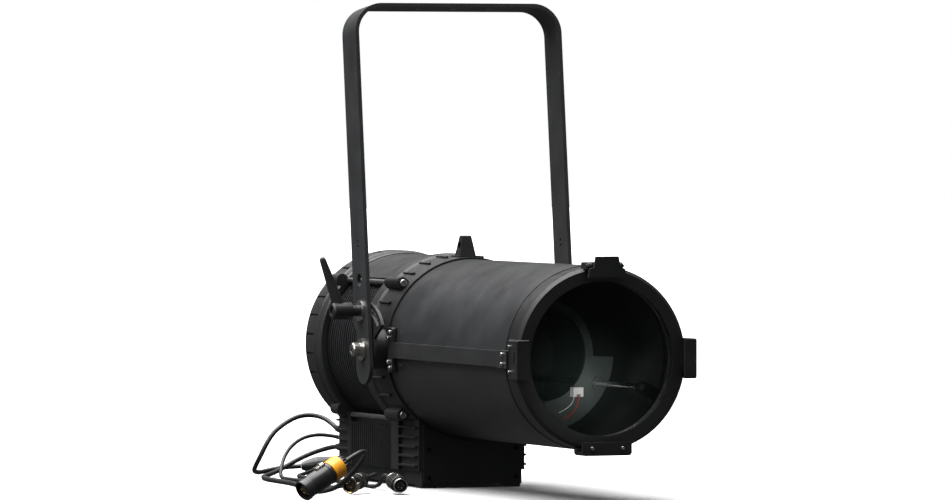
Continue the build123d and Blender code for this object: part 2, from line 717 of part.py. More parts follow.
# ---- rear end ------------------------------------------------------------------------------------
def rear_frame():
    """Cast rear ring with grip-like grooves and the compartment's rear wall."""
    ring = turned(
        (RIM_BORE, REAR_START),
        (REAR_RADIUS - 4, REAR_START),
        (REAR_RADIUS - 2, REAR_START + 4),
        (REAR_RADIUS - 1.5, REAR_START + 18),
        (REAR_RADIUS, REAR_START + 21),
        (REAR_RADIUS, REAR_END - 5),
        (REAR_RADIUS - 4, REAR_END),
        (RIM_BORE, REAR_END),
    )
    box = compartment_shell(REAR_START, REAR_END, "rear")
    box += side_ribs(REAR_START + 13, REAR_END)
    box += side_posts(REAR_START, REAR_START + 14)
    box += lugs(REAR_START, REAR_START + 30)
    frame = box - rod_y(RIM_BORE + 2, REAR_START - 1, REAR_END + 1) + ring
    rim_top = AXIS_HEIGHT + REAR_RADIUS
    for step in range(-9, 10):
        groove = block(
            -2, 2, REAR_START + 24, REAR_END - 8, rim_top - 2.5, rim_top + 9
        )
        frame -= around(groove, RIB_ANGLE * step)
    for x, z in POWER_GLANDS + DATA_GLANDS:
        frame -= rod_y(6 + FIT, REAR_END - WALL - 2, REAR_END + 1, x, z - AXIS_HEIGHT)
    left, right, bottom, top = panel_corners()
    return frame - block(left + 5, right - 5, REAR_END - WALL - 2, REAR_END + 1, bottom + 4, top - 4)


def panel_corners():
    """Control panel's left, right, bottom and top edges."""
    return -30.0, 78.0, 30.0, 62.0


def rear_grille():
    """Round guard with ring bars and spokes."""
    start = REAR_END - 2 - GRILLE_THICKNESS
    guard = Part() + ring_y(RIM_BORE - FIT, RIM_BORE - 12, start, start + GRILLE_THICKNESS)
    for radius in range(18, 116, 13):
        guard += ring_y(radius + 3, radius, start + 1, start + 4)
    for step in range(8):
        spoke = block(-2.5, 2.5, start, start + 4, AXIS_HEIGHT + 19, AXIS_HEIGHT + RIM_BORE - 10)
        guard += around(spoke, 45 * step)
    return guard


def fan_frame():
    """Square fan body with its motor seat on four struts, fixed to the last fin."""
    start = REAR_START
    half = FAN_SIZE / 2
    body = block(-half, half, start, start + FAN_DEPTH, AXIS_HEIGHT - half, AXIS_HEIGHT + half)
    body = fillet(body.edges().filter_by(Axis.Y), 6) - rod_y(FAN_BORE, start - 1, start + FAN_DEPTH + 1)
    struts = rod_y(20, start + FAN_DEPTH - 4, start + FAN_DEPTH)
    for step in range(4):
        strut = block(
            -3, 3, start + FAN_DEPTH - 4, start + FAN_DEPTH, AXIS_HEIGHT + 18, AXIS_HEIGHT + FAN_BORE + 1
        )
        struts += around(strut, 45 + 90 * step)
    return body + struts - rod_y(3 + RUN, start + FAN_DEPTH - 5, start + FAN_DEPTH + 1)


def fan_rotor():
    """Hub with pitched blades and a short shaft in the motor seat."""
    start = REAR_START + 2
    end = REAR_START + FAN_DEPTH - 5
    rotor = rod_y(20, start, end) + rod_y(3, end - 1, REAR_START + FAN_DEPTH)
    for step in range(BLADES):
        blade = Box(ROTOR_RADIUS - 18, 1.8, 17)
        blade = Pos(18 + (ROTOR_RADIUS - 18) / 2, 0, 0) * Rot(42, 0, 0) * blade
        blade = Pos(0, (start + end) / 2, AXIS_HEIGHT) * Rot(0, 360 / BLADES * step, 0) * blade
        rotor += blade
    return rotor & rod_y(ROTOR_RADIUS, start, REAR_START + FAN_DEPTH + 1)


def button_centres():
    """Place of each menu button along X."""
    right = panel_corners()[1]
    return [right - 12 - index * BUTTON_PITCH for index in range(BUTTONS)]


def control_panel():
    """Panel with a display window and holes for four buttons."""
    left, right, bottom, top = panel_corners()
    plate = block(left, right, REAR_END, REAR_END + 3, bottom, top)
    plate = fillet(plate.edges().filter_by(Axis.Y), 3)
    window = block(left + 8, left + 54, REAR_END + 2, REAR_END + 4, bottom + 6, top - 6)
    plate -= window
    middle = (bottom + top) / 2
    for x in button_centres():
        plate -= rod_y(BUTTON_RADIUS + 0.3, REAR_END - 1, REAR_END + 4, x, middle - AXIS_HEIGHT)
    glass = block(left + 8.2, left + 53.8, REAR_END + 2, REAR_END + 2.8, bottom + 6.2, top - 6.2)
    return group(plate, glass)


def menu_button(x):
    """Round key with a retaining collar behind the panel."""
    left, right, bottom, top = panel_corners()
    up = (bottom + top) / 2 - AXIS_HEIGHT
    cap = rod_y(BUTTON_RADIUS, REAR_END - 4, REAR_END + 5.5, x, up)
    cap = fillet(cap.edges().group_by(Axis.Y)[-1], 0.8)
    return cap + rod_y(BUTTON_RADIUS + 1, REAR_END - 3, REAR_END - GAP, x, up)


def cable_glands():
    """Domed cable glands on the rear wall."""
    found = []
    places = [(x, z, POWER_CORD_RADIUS) for x, z in POWER_GLANDS]
    places += [(x, z, DATA_CORD_RADIUS) for x, z in DATA_GLANDS]
    for x, z, cord in places:
        up = z - AXIS_HEIGHT
        flange = Pos(x, REAR_END, z) * Rot(-90, 0, 0) * extrude(RegularPolygon(GLAND_RADIUS, 6), 5)
        dome = Pos(x, REAR_END + 13.5, z) * Rot(-90, 0, 0) * Cone(GLAND_RADIUS - 1, cord + 2, 17)
        found.append(flange + dome + rod_y(6, REAR_END - WALL - 1, REAR_END + 1, x, up))
    return group(*found)


# ---- light engine and zoom -----------------------------------------------------------------------
def led_board():
    """Round metal-core board with the emitter dome."""
    back = FLANGE_END - SINK_PLATE
    board = rod_y(50, back - 4, back) + rod_y(20, back - 8, back - 3)
    return board


def gate_plate():
    """Bulkhead across the barrel with a tube that holds the condenser in front of the emitter."""
    back = GATE_FRONT + GATE_THICKNESS
    board_face = FLANGE_END - SINK_PLATE - 4
    plate = ring_y(BARREL_INSIDE - FIT, 30, GATE_FRONT, back)
    tube = ring_y(CONDENSER_RADIUS + 4, CONDENSER_RADIUS, back - 1, board_face)
    plate = plate + tube
    for side in (-1, 1):
        plate -= rod_y(ROD_RADIUS + FIT, GATE_FRONT - 1, back + 1, side * ROD_PLACE[0], side * ROD_PLACE[1])
    return plate - rod_y(SCREW_RADIUS + 4, GATE_FRONT - 1, back + 1, *SCREW_PLACE)


def domed_lens(radius, flat, edge, bulge):
    """Plano-convex lens: flat face at y = flat, then a cylindrical edge, then a dome towards -Y."""
    sphere_radius = (radius**2 + bulge**2) / (2 * bulge)
    blank = rod_y(radius, flat - edge - bulge - 1, flat)
    middle = flat - edge - bulge + sphere_radius
    return blank & (Pos(0, middle, AXIS_HEIGHT) * Sphere(sphere_radius))


def condenser_lens():
    """Thick plano-convex lens in the tube."""
    return domed_lens(CONDENSER_RADIUS - FIT, GATE_FRONT + 50, 8, 14)


def bracket_front():
    return RING_FACE + BRACKET_SETBACK


def guide_rods():
    """Two ground rods that the lens carriage slides on."""
    found = []
    for side in (-1, 1):
        x, up = side * ROD_PLACE[0], side * ROD_PLACE[1]
        found.append(rod_y(ROD_RADIUS, bracket_front() - 2, GATE_FRONT + GATE_THICKNESS, x, up))
    return group(*found)


def polar_angle(sideways, upwards):
    """Angle from the top towards +X of a place beside the optical axis."""
    return math.degrees(math.atan2(sideways, upwards))


def rod_bracket():
    """Ring inside the barrel with ears for the front ends of the rods and the lead screw."""
    start = bracket_front()
    end = start + BRACKET_THICKNESS
    ring = ring_y(BARREL_INSIDE - FIT, BARREL_INSIDE - 6, start, end)
    places = (ROD_PLACE, (-ROD_PLACE[0], -ROD_PLACE[1]), SCREW_PLACE)
    for sideways, upwards in places:
        reach = math.hypot(sideways, upwards)
        ear = block(-9, 9, start, end, AXIS_HEIGHT + reach, AXIS_HEIGHT + BARREL_INSIDE - 4)
        ear += Pos(0, (start + end) / 2, AXIS_HEIGHT + reach) * Rot(-90, 0, 0) * Cylinder(9, end - start)
        ring += around(ear, polar_angle(sideways, upwards))
    for sideways, upwards in places[:2]:
        ring -= rod_y(ROD_RADIUS + FIT, start - 1, end + 1, sideways, upwards)
    return ring - rod_y(SCREW_RADIUS + RUN, start - 1, end + 1, *SCREW_PLACE)


def zoom_motor():
    """Square stepper motor behind the bulkhead, driving the lead screw."""
    x, up = SCREW_PLACE
    back = GATE_FRONT + GATE_THICKNESS
    half = MOTOR_SIZE / 2
    can = Pos(x, back + MOTOR_LENGTH / 2, AXIS_HEIGHT + up) * Rot(0, polar_angle(x, up), 0)
    body = can * Box(MOTOR_SIZE, MOTOR_LENGTH, MOTOR_SIZE)
    body = fillet(body.edges().filter_by(Axis.Y), 4)
    return body - rod_y(SCREW_RADIUS + RUN, back - 1, back + 20, x, up)


def lead_screw():
    """Screw from the motor to the front bracket."""
    back = GATE_FRONT + GATE_THICKNESS
    return rod_y(SCREW_RADIUS, bracket_front() - 2, back + 18, *SCREW_PLACE)


def zoom_carriage():
    """Lens cell with two opposite quadrant arms that ride on the rods."""
    start = RING_FACE + CARRIAGE_SETBACK
    end = start + CARRIAGE_THICKNESS
    cell = ring_y(LENS_RADIUS + 8, LENS_RADIUS - 4, start, end)
    cell += ring_y(LENS_RADIUS + 4, LENS_RADIUS + FIT, start + 1, end + 14)
    arm = make_face(Polyline((0, 0), (170, -8), (170, -170), (12, -170), close=True))
    quadrant = Circle(116) & arm
    quadrant = quadrant + Rot(0, 0, 180) * quadrant
    plate = Pos(0, end, AXIS_HEIGHT) * Rot(90, 0, 0) * extrude(quadrant, CARRIAGE_THICKNESS)
    cell += plate - rod_y(LENS_RADIUS - 4, start - 1, end + 1)
    screw_reach = math.hypot(*SCREW_PLACE)
    nut_arm = block(-14, 14, start, end, AXIS_HEIGHT + LENS_RADIUS, AXIS_HEIGHT + screw_reach + 9)
    cell += around(nut_arm, polar_angle(*SCREW_PLACE))
    cell += rod_y(9, start, end + 12, *SCREW_PLACE)
    for side in (-1, 1):
        x, up = side * ROD_PLACE[0], side * ROD_PLACE[1]
        cell += rod_y(BUSH_RADIUS, start - 4, start - 4 + BUSH_LENGTH, x, up)
        cell -= rod_y(ROD_RADIUS + RUN, start - 5, end + BUSH_LENGTH, x, up)
    cell -= rod_y(LENS_RADIUS + FIT, end - 3, end + 15)
    return cell - rod_y(SCREW_RADIUS + RUN, start - 1, end + 13, *SCREW_PLACE)


def zoom_lens():
    """Large lens seated against the lip of its cell, domed towards the front through the lip."""
    seat = RING_FACE + CARRIAGE_SETBACK + CARRIAGE_THICKNESS - 3
    blank = rod_y(LENS_RADIUS, seat, seat + 12)
    return blank + domed_lens(LENS_RADIUS - 4 - FIT, seat + 1, 2, 12)


# ---- yoke ----------------------------------------------------------------------------------------
def yoke():
    """Flat bar bent into a U, with its hanging holes and pivot holes."""
    low = -ARM_TAIL - BAR_WIDTH / 2
    outer = Pos(0, (YOKE_RISE + low) / 2) * Rectangle(YOKE_WIDTH, YOKE_RISE - low)
    outer = fillet(outer.vertices().group_by(Axis.Y)[-1], YOKE_CORNER)
    room_top = YOKE_RISE - BAR_THICKNESS
    room = Pos(0, (room_top + low - 1) / 2) * Rectangle(2 * ARM_INNER, room_top - low + 1)
    room = fillet(room.vertices().group_by(Axis.Y)[-1], YOKE_CORNER - BAR_THICKNESS)
    bar = Rot(90, 0, 0) * extrude(outer - room, BAR_WIDTH / 2, both=True)
    bar = Pos(0, 0, AXIS_HEIGHT) * bar
    half = BAR_WIDTH / 2
    keep = block(-YOKE_WIDTH, YOKE_WIDTH, -half, half, AXIS_HEIGHT - ARM_TAIL, AXIS_HEIGHT + YOKE_RISE)
    keep += rod_x(half, -YOKE_WIDTH, YOKE_WIDTH, 0, -ARM_TAIL)
    bar = bar & keep
    span = (-ARM_OUTER - 1, ARM_OUTER + 1)
    bar -= rod_x(PIVOT_RADIUS + RUN, *span)
    bar -= rod_x(STUD_RADIUS + FIT, *span, 0, SLOT_CIRCLE)
    bar -= rod_x(STOW_HOLE_RADIUS, *span, 0, STOW_HOLE_RISE)
    bar -= rod_x(NOTCH_RADIUS, *span, half + NOTCH_RADIUS - 8, NOTCH_RISE)
    for rise in SMALL_HOLE_RISES:
        bar -= rod_x(SMALL_HOLE_RADIUS, *span, 0, rise)
    for x in (-TOP_HOLE_SPACING, 0, TOP_HOLE_SPACING):
        bar -= Pos(x, 0, AXIS_HEIGHT + YOKE_RISE) * Cylinder(TOP_HOLE_RADIUS, 40)
    return with_yoke(bar)


def yoke_washers():
    """Steel washers outside the arms and friction discs inside them."""
    pivot = ring_x(PIVOT_WASHER_RADIUS, PIVOT_RADIUS + 0.4, ARM_OUTER, WASHER_OUTER)
    clamp = ring_x(CLAMP_WASHER_RADIUS, STUD_RADIUS + FIT, ARM_OUTER, WASHER_OUTER, 0, SLOT_CIRCLE)
    disc = ring_x(24, PIVOT_RADIUS + 0.4, ARM_INNER - FRICTION_THICKNESS, ARM_INNER)
    return both_sides(with_yoke(group(pivot, clamp, disc)))


def stud_tip():
    return HUB_INNER + 28


def clamp_studs():
    """Headed studs that run in the quadrant slots."""
    head_outer = PLATE_INNER - GAP
    stud = rod_x(STUD_RADIUS, head_outer - 1, stud_tip(), 0, SLOT_CIRCLE)
    stud += rod_x(STUD_HEAD_RADIUS, head_outer - STUD_HEAD_LENGTH, head_outer, 0, SLOT_CIRCLE)
    return both_sides(with_yoke(stud))


def clamp_hub():
    """Threaded clamp nut with a collar, a toothed core and the lever's retaining screw."""
    core_start = HUB_INNER + 12
    core_end = HUB_INNER + 31
    hub = rod_x(8.5, HUB_INNER, core_start, 0, SLOT_CIRCLE)
    hub += rod_x(CORE_SHAFT_RADIUS, core_start - 1, core_end, 0, SLOT_CIRCLE)
    hub -= rod_x(STUD_RADIUS + RUN, HUB_INNER - 1, stud_tip() + 0.5, 0, SLOT_CIRCLE)
    hub += rod_x(3, core_end - 1, core_end + 9, 0, SLOT_CIRCLE)
    hub += rod_x(6.5, core_end + 7.5, core_end + 10.5, 0, SLOT_CIRCLE)
    return with_yoke(hub)


def clamp_lever(turn):
    """Handle that lifts along the stud to be re-indexed, pointing up at zero turn."""
    inner = HUB_INNER + 13
    outer = HUB_INNER + 13 + LEVER_HUB_LENGTH
    wall = HUB_INNER + 31.5
    base = Plane(origin=(inner + 19, 0, 8), z_dir=(0.28, 0, 1)) * Ellipse(9.5, 8)
    tip = Plane(origin=(inner + 42, 0, LEVER_LENGTH - 4), z_dir=(0.28, 0, 1)) * Ellipse(5, 4.5)
    arm = loft(Sketch() + [base, tip])
    arm += Pos(inner + 42, 0, LEVER_LENGTH - 4) * Sphere(4.6)
    arm = Pos(0, 0, AXIS_HEIGHT + SLOT_CIRCLE) * Rot(turn, 0, 0) * arm
    body = rod_x(LEVER_HUB_RADIUS, inner, outer, 0, SLOT_CIRCLE)
    body = chamfer(body.edges().group_by(Axis.X)[-1], 2.5) + arm
    body -= rod_x(CORE_SHAFT_RADIUS + 0.35, inner - 1, wall, 0, SLOT_CIRCLE)
    body -= rod_x(3.4, wall - 1, wall + 5, 0, SLOT_CIRCLE)
    return with_yoke(body - rod_x(7.2, wall + 2, outer + 1, 0, SLOT_CIRCLE))


# ---- cords and connectors ------------------------------------------------------------------------
POWER_OUT_ROUTE = [
    (-74, 336, 76), (-74, 358, 76), (-74, 382, 84), (-80, 402, 92), (-95, 414, 96), (-116, 418, 94),
    (-138, 416, 84), (-160, 412, 69), (-174, 408, 50), (-183, 411, 30), (-186, 426, 14),
    (-180, 445, 6.5), (-166, 459, 4), (-145, 466, 8), (-122, 461, 12), (-98, 452, 13.3),
]
DATA_IN_ROUTE = [
    (-50, 336, 58), (-50, 354, 58), (-54, 372, 60), (-68, 386, 63), (-92, 392, 66), (-118, 388, 62),
    (-140, 380, 51), (-156, 370, 36), (-168, 354, 20), (-178, 332, 8), (-186, 304, 3.2),
    (-190, 268, 3.2), (-188, 226, 3.2), (-184, 180, 3.2), (-188, 132, 3.2), (-200, 86, 3.2),
    (-216, 42, 3.2), (-221, 8, 3.2), (-216, -22, 5), (-203, -44, 12), (-186, -60, 20), (-181, -80, 26),
    (-187.3, -97.4, 26.7), (-203.9, -111.5, 23.4),
]
POWER_IN_ROUTE = [
    (-74, 336, 48), (-74, 358, 48), (-78, 382, 45), (-94, 402, 38), (-118, 410, 27), (-144, 402, 15),
    (-168, 388, 7), (-190, 364, 4), (-208, 330, 4), (-220, 290, 4), (-228, 244, 4), (-230, 194, 4),
    (-234, 142, 4), (-242, 92, 4), (-252.5, 44, 4), (-266, -4, 4), (-276, -52, 4), (-283, -92, 4),
    (-282, -130, 4.5), (-275, -164, 12), (-268, -194, 28), (-262, -220, 46), (-260, -244, 62),
    (-268, -266, 70), (-285, -280.4, 69.4), (-307.2, -286.4, 57.2),
]
DATA_OUT_ROUTE = [
    (-50, 336, 34), (-50, 354, 34), (-55, 374, 30), (-70, 390, 22), (-92, 396, 12), (-116, 388, 5),
    (-134, 368, 3.2), (-146, 336, 3.2), (-150, 292, 3.2), (-146, 244, 3.2), (-140, 196, 3.2),
    (-138, 150, 3.2), (-142, 102, 3.2), (-148, 54, 3.2), (-152, 4, 3.2), (-155, -28, 6),
    (-161, -56, 14), (-168, -80, 23), (-173.8, -108.4, 26.3), (-176, -130, 23),
]


def corner_radii(points):
    """Largest tangent arc for each corner of a cord's route."""
    radii = []
    for before, corner, after in zip(points, points[1:], points[2:]):
        run_in = Vector(*corner) - Vector(*before)
        run_out = Vector(*after) - Vector(*corner)
        half_turn = math.radians(run_in.get_angle(run_out)) / 2
        radii.append(0.45 * min(run_in.length, run_out.length) / math.tan(half_turn))
    return radii


def cord(points, radius):
    """Round cord along straight runs joined by tangent arcs."""
    radii = corner_radii(points)
    path = FilletPolyline(*points, radius=radii)
    start = Plane(origin=points[0], z_dir=path % 0)
    tube = sweep(start * Circle(radius), path=path)
    drawn = math.pi * radius**2 * path.length
    print("cord length", round(path.length), "least radius", round(min(radii)))
    print("corner radii", [round(corner) for corner in radii], "volume ratio", round(tube.volume / drawn, 6))
    return tube


def along(points, length, piece):
    """Connector of that length, drawn along +Z from its face, with its cord end at the route's end."""
    end = Vector(*points[-1])
    heading = (end - Vector(*points[-2])).normalized()
    sideways = Vector(0, 0, 1).cross(-heading)
    return Plane(origin=end + heading * length, x_dir=sideways, z_dir=-heading) * piece


def power_plug():
    """Round twist-lock power connector with its latch and cord nut."""
    body = Pos(0, 0, 28) * Cylinder(PLUG_RADIUS, 56)
    body -= Pos(0, 0, 6) * Cylinder(PLUG_RADIUS - 2.8, 13)
    body += Pos(0, 0, 8) * Cylinder(7.5, 10)
    core = Pos(0, 0, 66) * Cylinder(PLUG_RADIUS - 3, 20)
    nut = Pos(0, 0, 83) * Cone(PLUG_RADIUS - 1.5, POWER_CORD_RADIUS + 2, PLUG_LENGTH - 76)
    latch = Pos(0, PLUG_RADIUS + 0.7, 43) * Box(9, 5, 18)
    latch = fillet(latch.edges().filter_by(Axis.Z), 1)
    return body + core + nut + latch


def power_sleeve():
    """Coloured locking sleeve round the power connector's rear half."""
    return Pos(0, 0, 66) * (Cylinder(PLUG_RADIUS + 1, 20 - 2 * FIT) - Cylinder(PLUG_RADIUS - 3 + FIT, 20))


def power_coupler():
    """Inline power socket on the outgoing tail."""
    body = Pos(0, 0, 20) * Cylinder(13, 40) - Pos(0, 0, 6) * Cylinder(10.5, 13)
    waist = Pos(0, 0, 46) * Cone(13, 9, 12)
    return body + waist + Pos(0, 0, 56) * Cone(9, POWER_CORD_RADIUS + 1.5, 8)


def data_plug(reach, ring_radius, body_radius):
    """Round data connector: ring, body and boot; reach is how far its insert stands from the ring."""
    boot_length = DATA_PLUG_LENGTH - 40
    ring = Pos(0, 0, 6) * Cylinder(ring_radius, 12) - Pos(0, 0, 5) * Cylinder(ring_radius - 2, 11)
    insert = Pos(0, 0, 9 - reach / 2) * Cylinder(ring_radius - 4, 6 + reach)
    body = Pos(0, 0, 25.5) * Cylinder(body_radius, 29)
    boot = Pos(0, 0, 40 + boot_length / 2) * Cone(body_radius - 2, DATA_CORD_RADIUS + 1.5, boot_length)
    return ring + insert + body + boot


# ---- write every piece ---------------------------------------------------------------------------
PIECES = {
    "front_ring": cut_screws(front_ring()),
    "front_glass": front_glass(),
    "glass_gasket": glass_gasket(),
    "glass_retainer": glass_retainer(),
    "barrel": barrel(),
    "clip_left": side_clip(-1),
    "clip_right": side_clip(1),
    "clip_bottom": clip_bottom(),
    "latch_base": latch_base(),
    "top_latch": top_latch(),
    "side_rails": side_rails(),
    "front_frame": front_frame(),
    "safety_eye": safety_eye(),
    "quadrant_plates": quadrant_plates(),
    "pivot_bolts": pivot_bolts(),
    "driver_housing": driver_housing(),
    "base_plate": base_plate(),
    "front_cover": front_cover(),
    "feet": feet(),
    "power_supply": power_supply(),
    "control_board": control_board(),
    "heat_sink": heat_sink(),
    "sink_cover": sink_cover(),
    "tie_rods": tie_rods(),
    "rear_frame": rear_frame(),
    "rear_grille": rear_grille(),
    "fan_frame": fan_frame(),
    "fan_rotor": fan_rotor(),
    "control_panel": control_panel(),
    "cable_glands": cable_glands(),
    "led_board": led_board(),
    "gate_plate": gate_plate(),
    "condenser_lens": condenser_lens(),
    "guide_rods": guide_rods(),
    "rod_bracket": rod_bracket(),
    "zoom_motor": zoom_motor(),
    "lead_screw": lead_screw(),
    "zoom_carriage": zoom_carriage(),
    "zoom_lens": zoom_lens(),
    "yoke": yoke(),
    "yoke_washers": yoke_washers(),
    "clamp_studs": clamp_studs(),
    "clamp_hub_right": clamp_hub(),
    "clamp_hub_left": mirrored(clamp_hub()),
    "clamp_lever_right": clamp_lever(180),
    "clamp_lever_left": mirrored(clamp_lever(0)),
    "screws": screws(),
}
for number, centre in enumerate(button_centres(), 1):
    PIECES[f"menu_button_{number}"] = menu_button(centre)

PIECES["cord_power_in"] = cord(POWER_IN_ROUTE, POWER_CORD_RADIUS)
PIECES["cord_power_out"] = cord(POWER_OUT_ROUTE, POWER_CORD_RADIUS)
PIECES["cord_data_in"] = cord(DATA_IN_ROUTE, DATA_CORD_RADIUS)
PIECES["cord_data_out"] = cord(DATA_OUT_ROUTE, DATA_CORD_RADIUS)
PIECES["power_plug"] = along(POWER_IN_ROUTE, PLUG_LENGTH, power_plug())
PIECES["power_sleeve"] = along(POWER_IN_ROUTE, PLUG_LENGTH, power_sleeve())
PIECES["power_coupler"] = along(POWER_OUT_ROUTE, COUPLER_LENGTH, power_coupler())
PIECES["data_plug_in"] = along(DATA_IN_ROUTE, DATA_PLUG_LENGTH, data_plug(2, 13.5, 12))
PIECES["data_plug_out"] = along(DATA_OUT_ROUTE, DATA_PLUG_LENGTH, data_plug(0, 11, 13))

os.makedirs("parts", exist_ok=True)
for name, piece in PIECES.items():
    export_step(Pos(0, ORIGIN_SHIFT, 0) * piece, f"parts/{name}.step")
    print(name, len(piece.solids()), round(piece.volume))
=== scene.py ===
"""Looks of a yoke-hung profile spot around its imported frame, in metres.

+Z is up, -Y is the way the light leaves and X runs along the yoke's pivot axis. Solids of the
frame keep their shape and get a finish. The cords, their strain reliefs and connectors, the header
on the lens carriage with its wires, and the rear baffle are made here.
"""
import math

import bmesh
import bpy
import numpy as np
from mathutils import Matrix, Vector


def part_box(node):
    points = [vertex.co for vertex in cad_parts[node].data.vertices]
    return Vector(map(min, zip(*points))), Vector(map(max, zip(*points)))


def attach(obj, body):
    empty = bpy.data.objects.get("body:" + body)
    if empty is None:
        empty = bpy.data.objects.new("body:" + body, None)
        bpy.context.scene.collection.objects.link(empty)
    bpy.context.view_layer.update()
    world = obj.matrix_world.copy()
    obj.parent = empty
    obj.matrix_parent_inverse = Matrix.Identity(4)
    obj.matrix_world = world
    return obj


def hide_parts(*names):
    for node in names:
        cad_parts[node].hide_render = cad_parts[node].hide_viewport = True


bl_info = {
    "name": "Profile spot looks",
    "version": (1, 0, 0),
    "blender": (4, 5, 0),
    "location": "3D View > Sidebar > Profile spot",
    "description": "Finishes, cords, connectors and stage for a yoke-hung profile spot",
    "category": "Object",
}

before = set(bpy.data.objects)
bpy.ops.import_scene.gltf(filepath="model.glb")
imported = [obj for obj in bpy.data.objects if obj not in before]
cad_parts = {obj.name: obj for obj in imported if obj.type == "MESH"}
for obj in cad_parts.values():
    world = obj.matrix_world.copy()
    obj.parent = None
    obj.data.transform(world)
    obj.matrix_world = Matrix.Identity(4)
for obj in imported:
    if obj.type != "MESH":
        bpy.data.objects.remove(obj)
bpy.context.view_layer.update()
BODY = "housing"
CARRIAGE = "zoom_carriage"
MM = 0.001
MATERIALS = {}  # every finish by its name
CONNECTORS = {}  # the pieces of each connector by the name of its cord

# ---- places that follow from the frame -----------------------------------------------------------
RING_LOW, RING_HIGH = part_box("front_ring")
AXIS_HEIGHT = (RING_LOW.z + RING_HIGH.z) / 2
REAR_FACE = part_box("rear_frame")[0].y
COVER_LOW, COVER_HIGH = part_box("front_cover")
COVER_REACH = 0.012  # how far the heads and shanks of the cover's screws reach from its face
BUSH_PROUD = 0.004  # how far the carriage's bushes stand out of its face
CARRIAGE_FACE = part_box(CARRIAGE)[0].y + BUSH_PROUD

# ---- connectors and small pieces -----------------------------------------------------------------
BACKWARD_AXES = np.array(((-1.0, 0.0, 0.0), (0.0, 0.0, 1.0), (0.0, 1.0, 0.0)))  # across, up, along
RELIEF_AXES = np.array(((1.0, 0.0, 0.0), (0.0, 0.0, -1.0), (0.0, 1.0, 0.0)))
PLUG_LENGTH = 0.090
COUPLER_LENGTH = 0.060
DATA_PLUG_LENGTH = 0.060
BEVEL = 0.4  # of a swept box's ends, in millimetres
RIBS = 6  # on each strain relief and boot
RELIEF_WALL = 0.5  # of the last rib, in millimetres
RELIEF_FLARE = 2.6  # how much thicker the first rib is, in millimetres
RELIEF_TAPER = 0.8  # power by which the ribs shrink along the cord
RELIEF_GROOVE = 0.7  # depth between ribs, in millimetres
SHEATH_GAP = 0.05  # between a strain relief and its cord, in millimetres
BOOT_END = 4.6  # radius of a boot's last rib, in millimetres
BAFFLE_RADII = (116.0, 141.0)  # in millimetres
BAFFLE_FACES = (1.0, 2.5)  # behind the rear frame's front, in millimetres
HEADER_ACROSS = 0.054
HEADER_HEIGHT = 0.155
HEADER_DEPTH = 14.0  # in millimetres
HEADER_SUNK = 0.5  # how deep the header sits in the carriage's face, in millimetres
HEADER_OUTLINE = [(-8, -7), (-3, -7), (-3, -4), (3, -4), (3, -7), (8, -7), (8, 7), (-8, 7)]
WIRE_DIAMETER = 0.0016
WHITE_WIRE = [  # y is taken from the carriage's face
    (0.050, -0.007, 0.150), (0.046, -0.012, 0.140), (0.037, -0.008, 0.130), (0.028, 0.001, 0.124),
]
RED_WIRE = [
    (0.057, -0.007, 0.150), (0.055, -0.011, 0.136), (0.046, -0.007, 0.122), (0.036, 0.001, 0.114),
]
POWER_IN_LENGTH = 0.898
POWER_OUT_LENGTH = 0.339
DATA_IN_LENGTH = 0.680
DATA_OUT_LENGTH = 0.645

# ---- numbers of the stage ------------------------------------------------------------------------
ROOM_LIGHT = 0.09  # how bright the room is to the object, against white to the eye
FLOOR_SIZE = 60.0
FLOOR_TONES = ((0.86, 0.86, 0.86), (0.9, 0.9, 0.9))
FLOOR_ROUGHNESS = 0.9
OVERHEAD_ANGLE = math.radians(75.0)  # how wide the overhead light looks from the object
OVERHEAD_TURN = (math.radians(-8.0), math.radians(-12.0), 0.0)
SIDE_PLACE = (-3.2, -0.6, 1.5)
SIDE_AIM = (0.0, 0.1, 0.3)
SIDE_SIZE = (1.0, 1.4)
BEAM_AIM = (0.07, CARRIAGE_FACE, 0.165)
BEAM_HEADING = (0.388, 0.921, -0.033)
BEAM_DISTANCE = 4.0
BEAM_ANGLE = math.radians(1.7)
BEAM_BLEND = 0.6
BEAM_SOFTNESS = 0.05
SENSOR_WIDTH = 36.0
VIEW_END = 100.0

# ---- numbers of the finishes ---------------------------------------------------------------------
MOTTLE_SHARE = 0.02  # scale of the mottle against that of the grain
DUST_SCALE = 60.0
SCRATCH_STRETCH = (1.0, 0.12, 0.35)
SCRATCH_SCALE = 420.0
SCUFF_SCALE = 14.0
BRUSH_SCALE = 1500.0
STAIN_SCALE = 90.0
FILM_SCALE = 25.0
BOARD_SCALE = 160.0
LINE_DEPTH = 0.00001
TRACE_DEPTH = 0.0001
EDGE_SAMPLES = 4
GLASS_INDEX = 1.5
SCUFF_COLOUR = (0.09, 0.09, 0.092)
DUST_COLOUR = (0.16, 0.15, 0.14)
PAD_COLOUR = (0.75, 0.7, 0.55)
# painted shade: near-black colour for the front cover's screws, which sit in the shadow under the
# barrel
PAINTED_SHADE_BLACK = (0.012, 0.012, 0.012)
PLATED = (0.62, 0.61, 0.58)

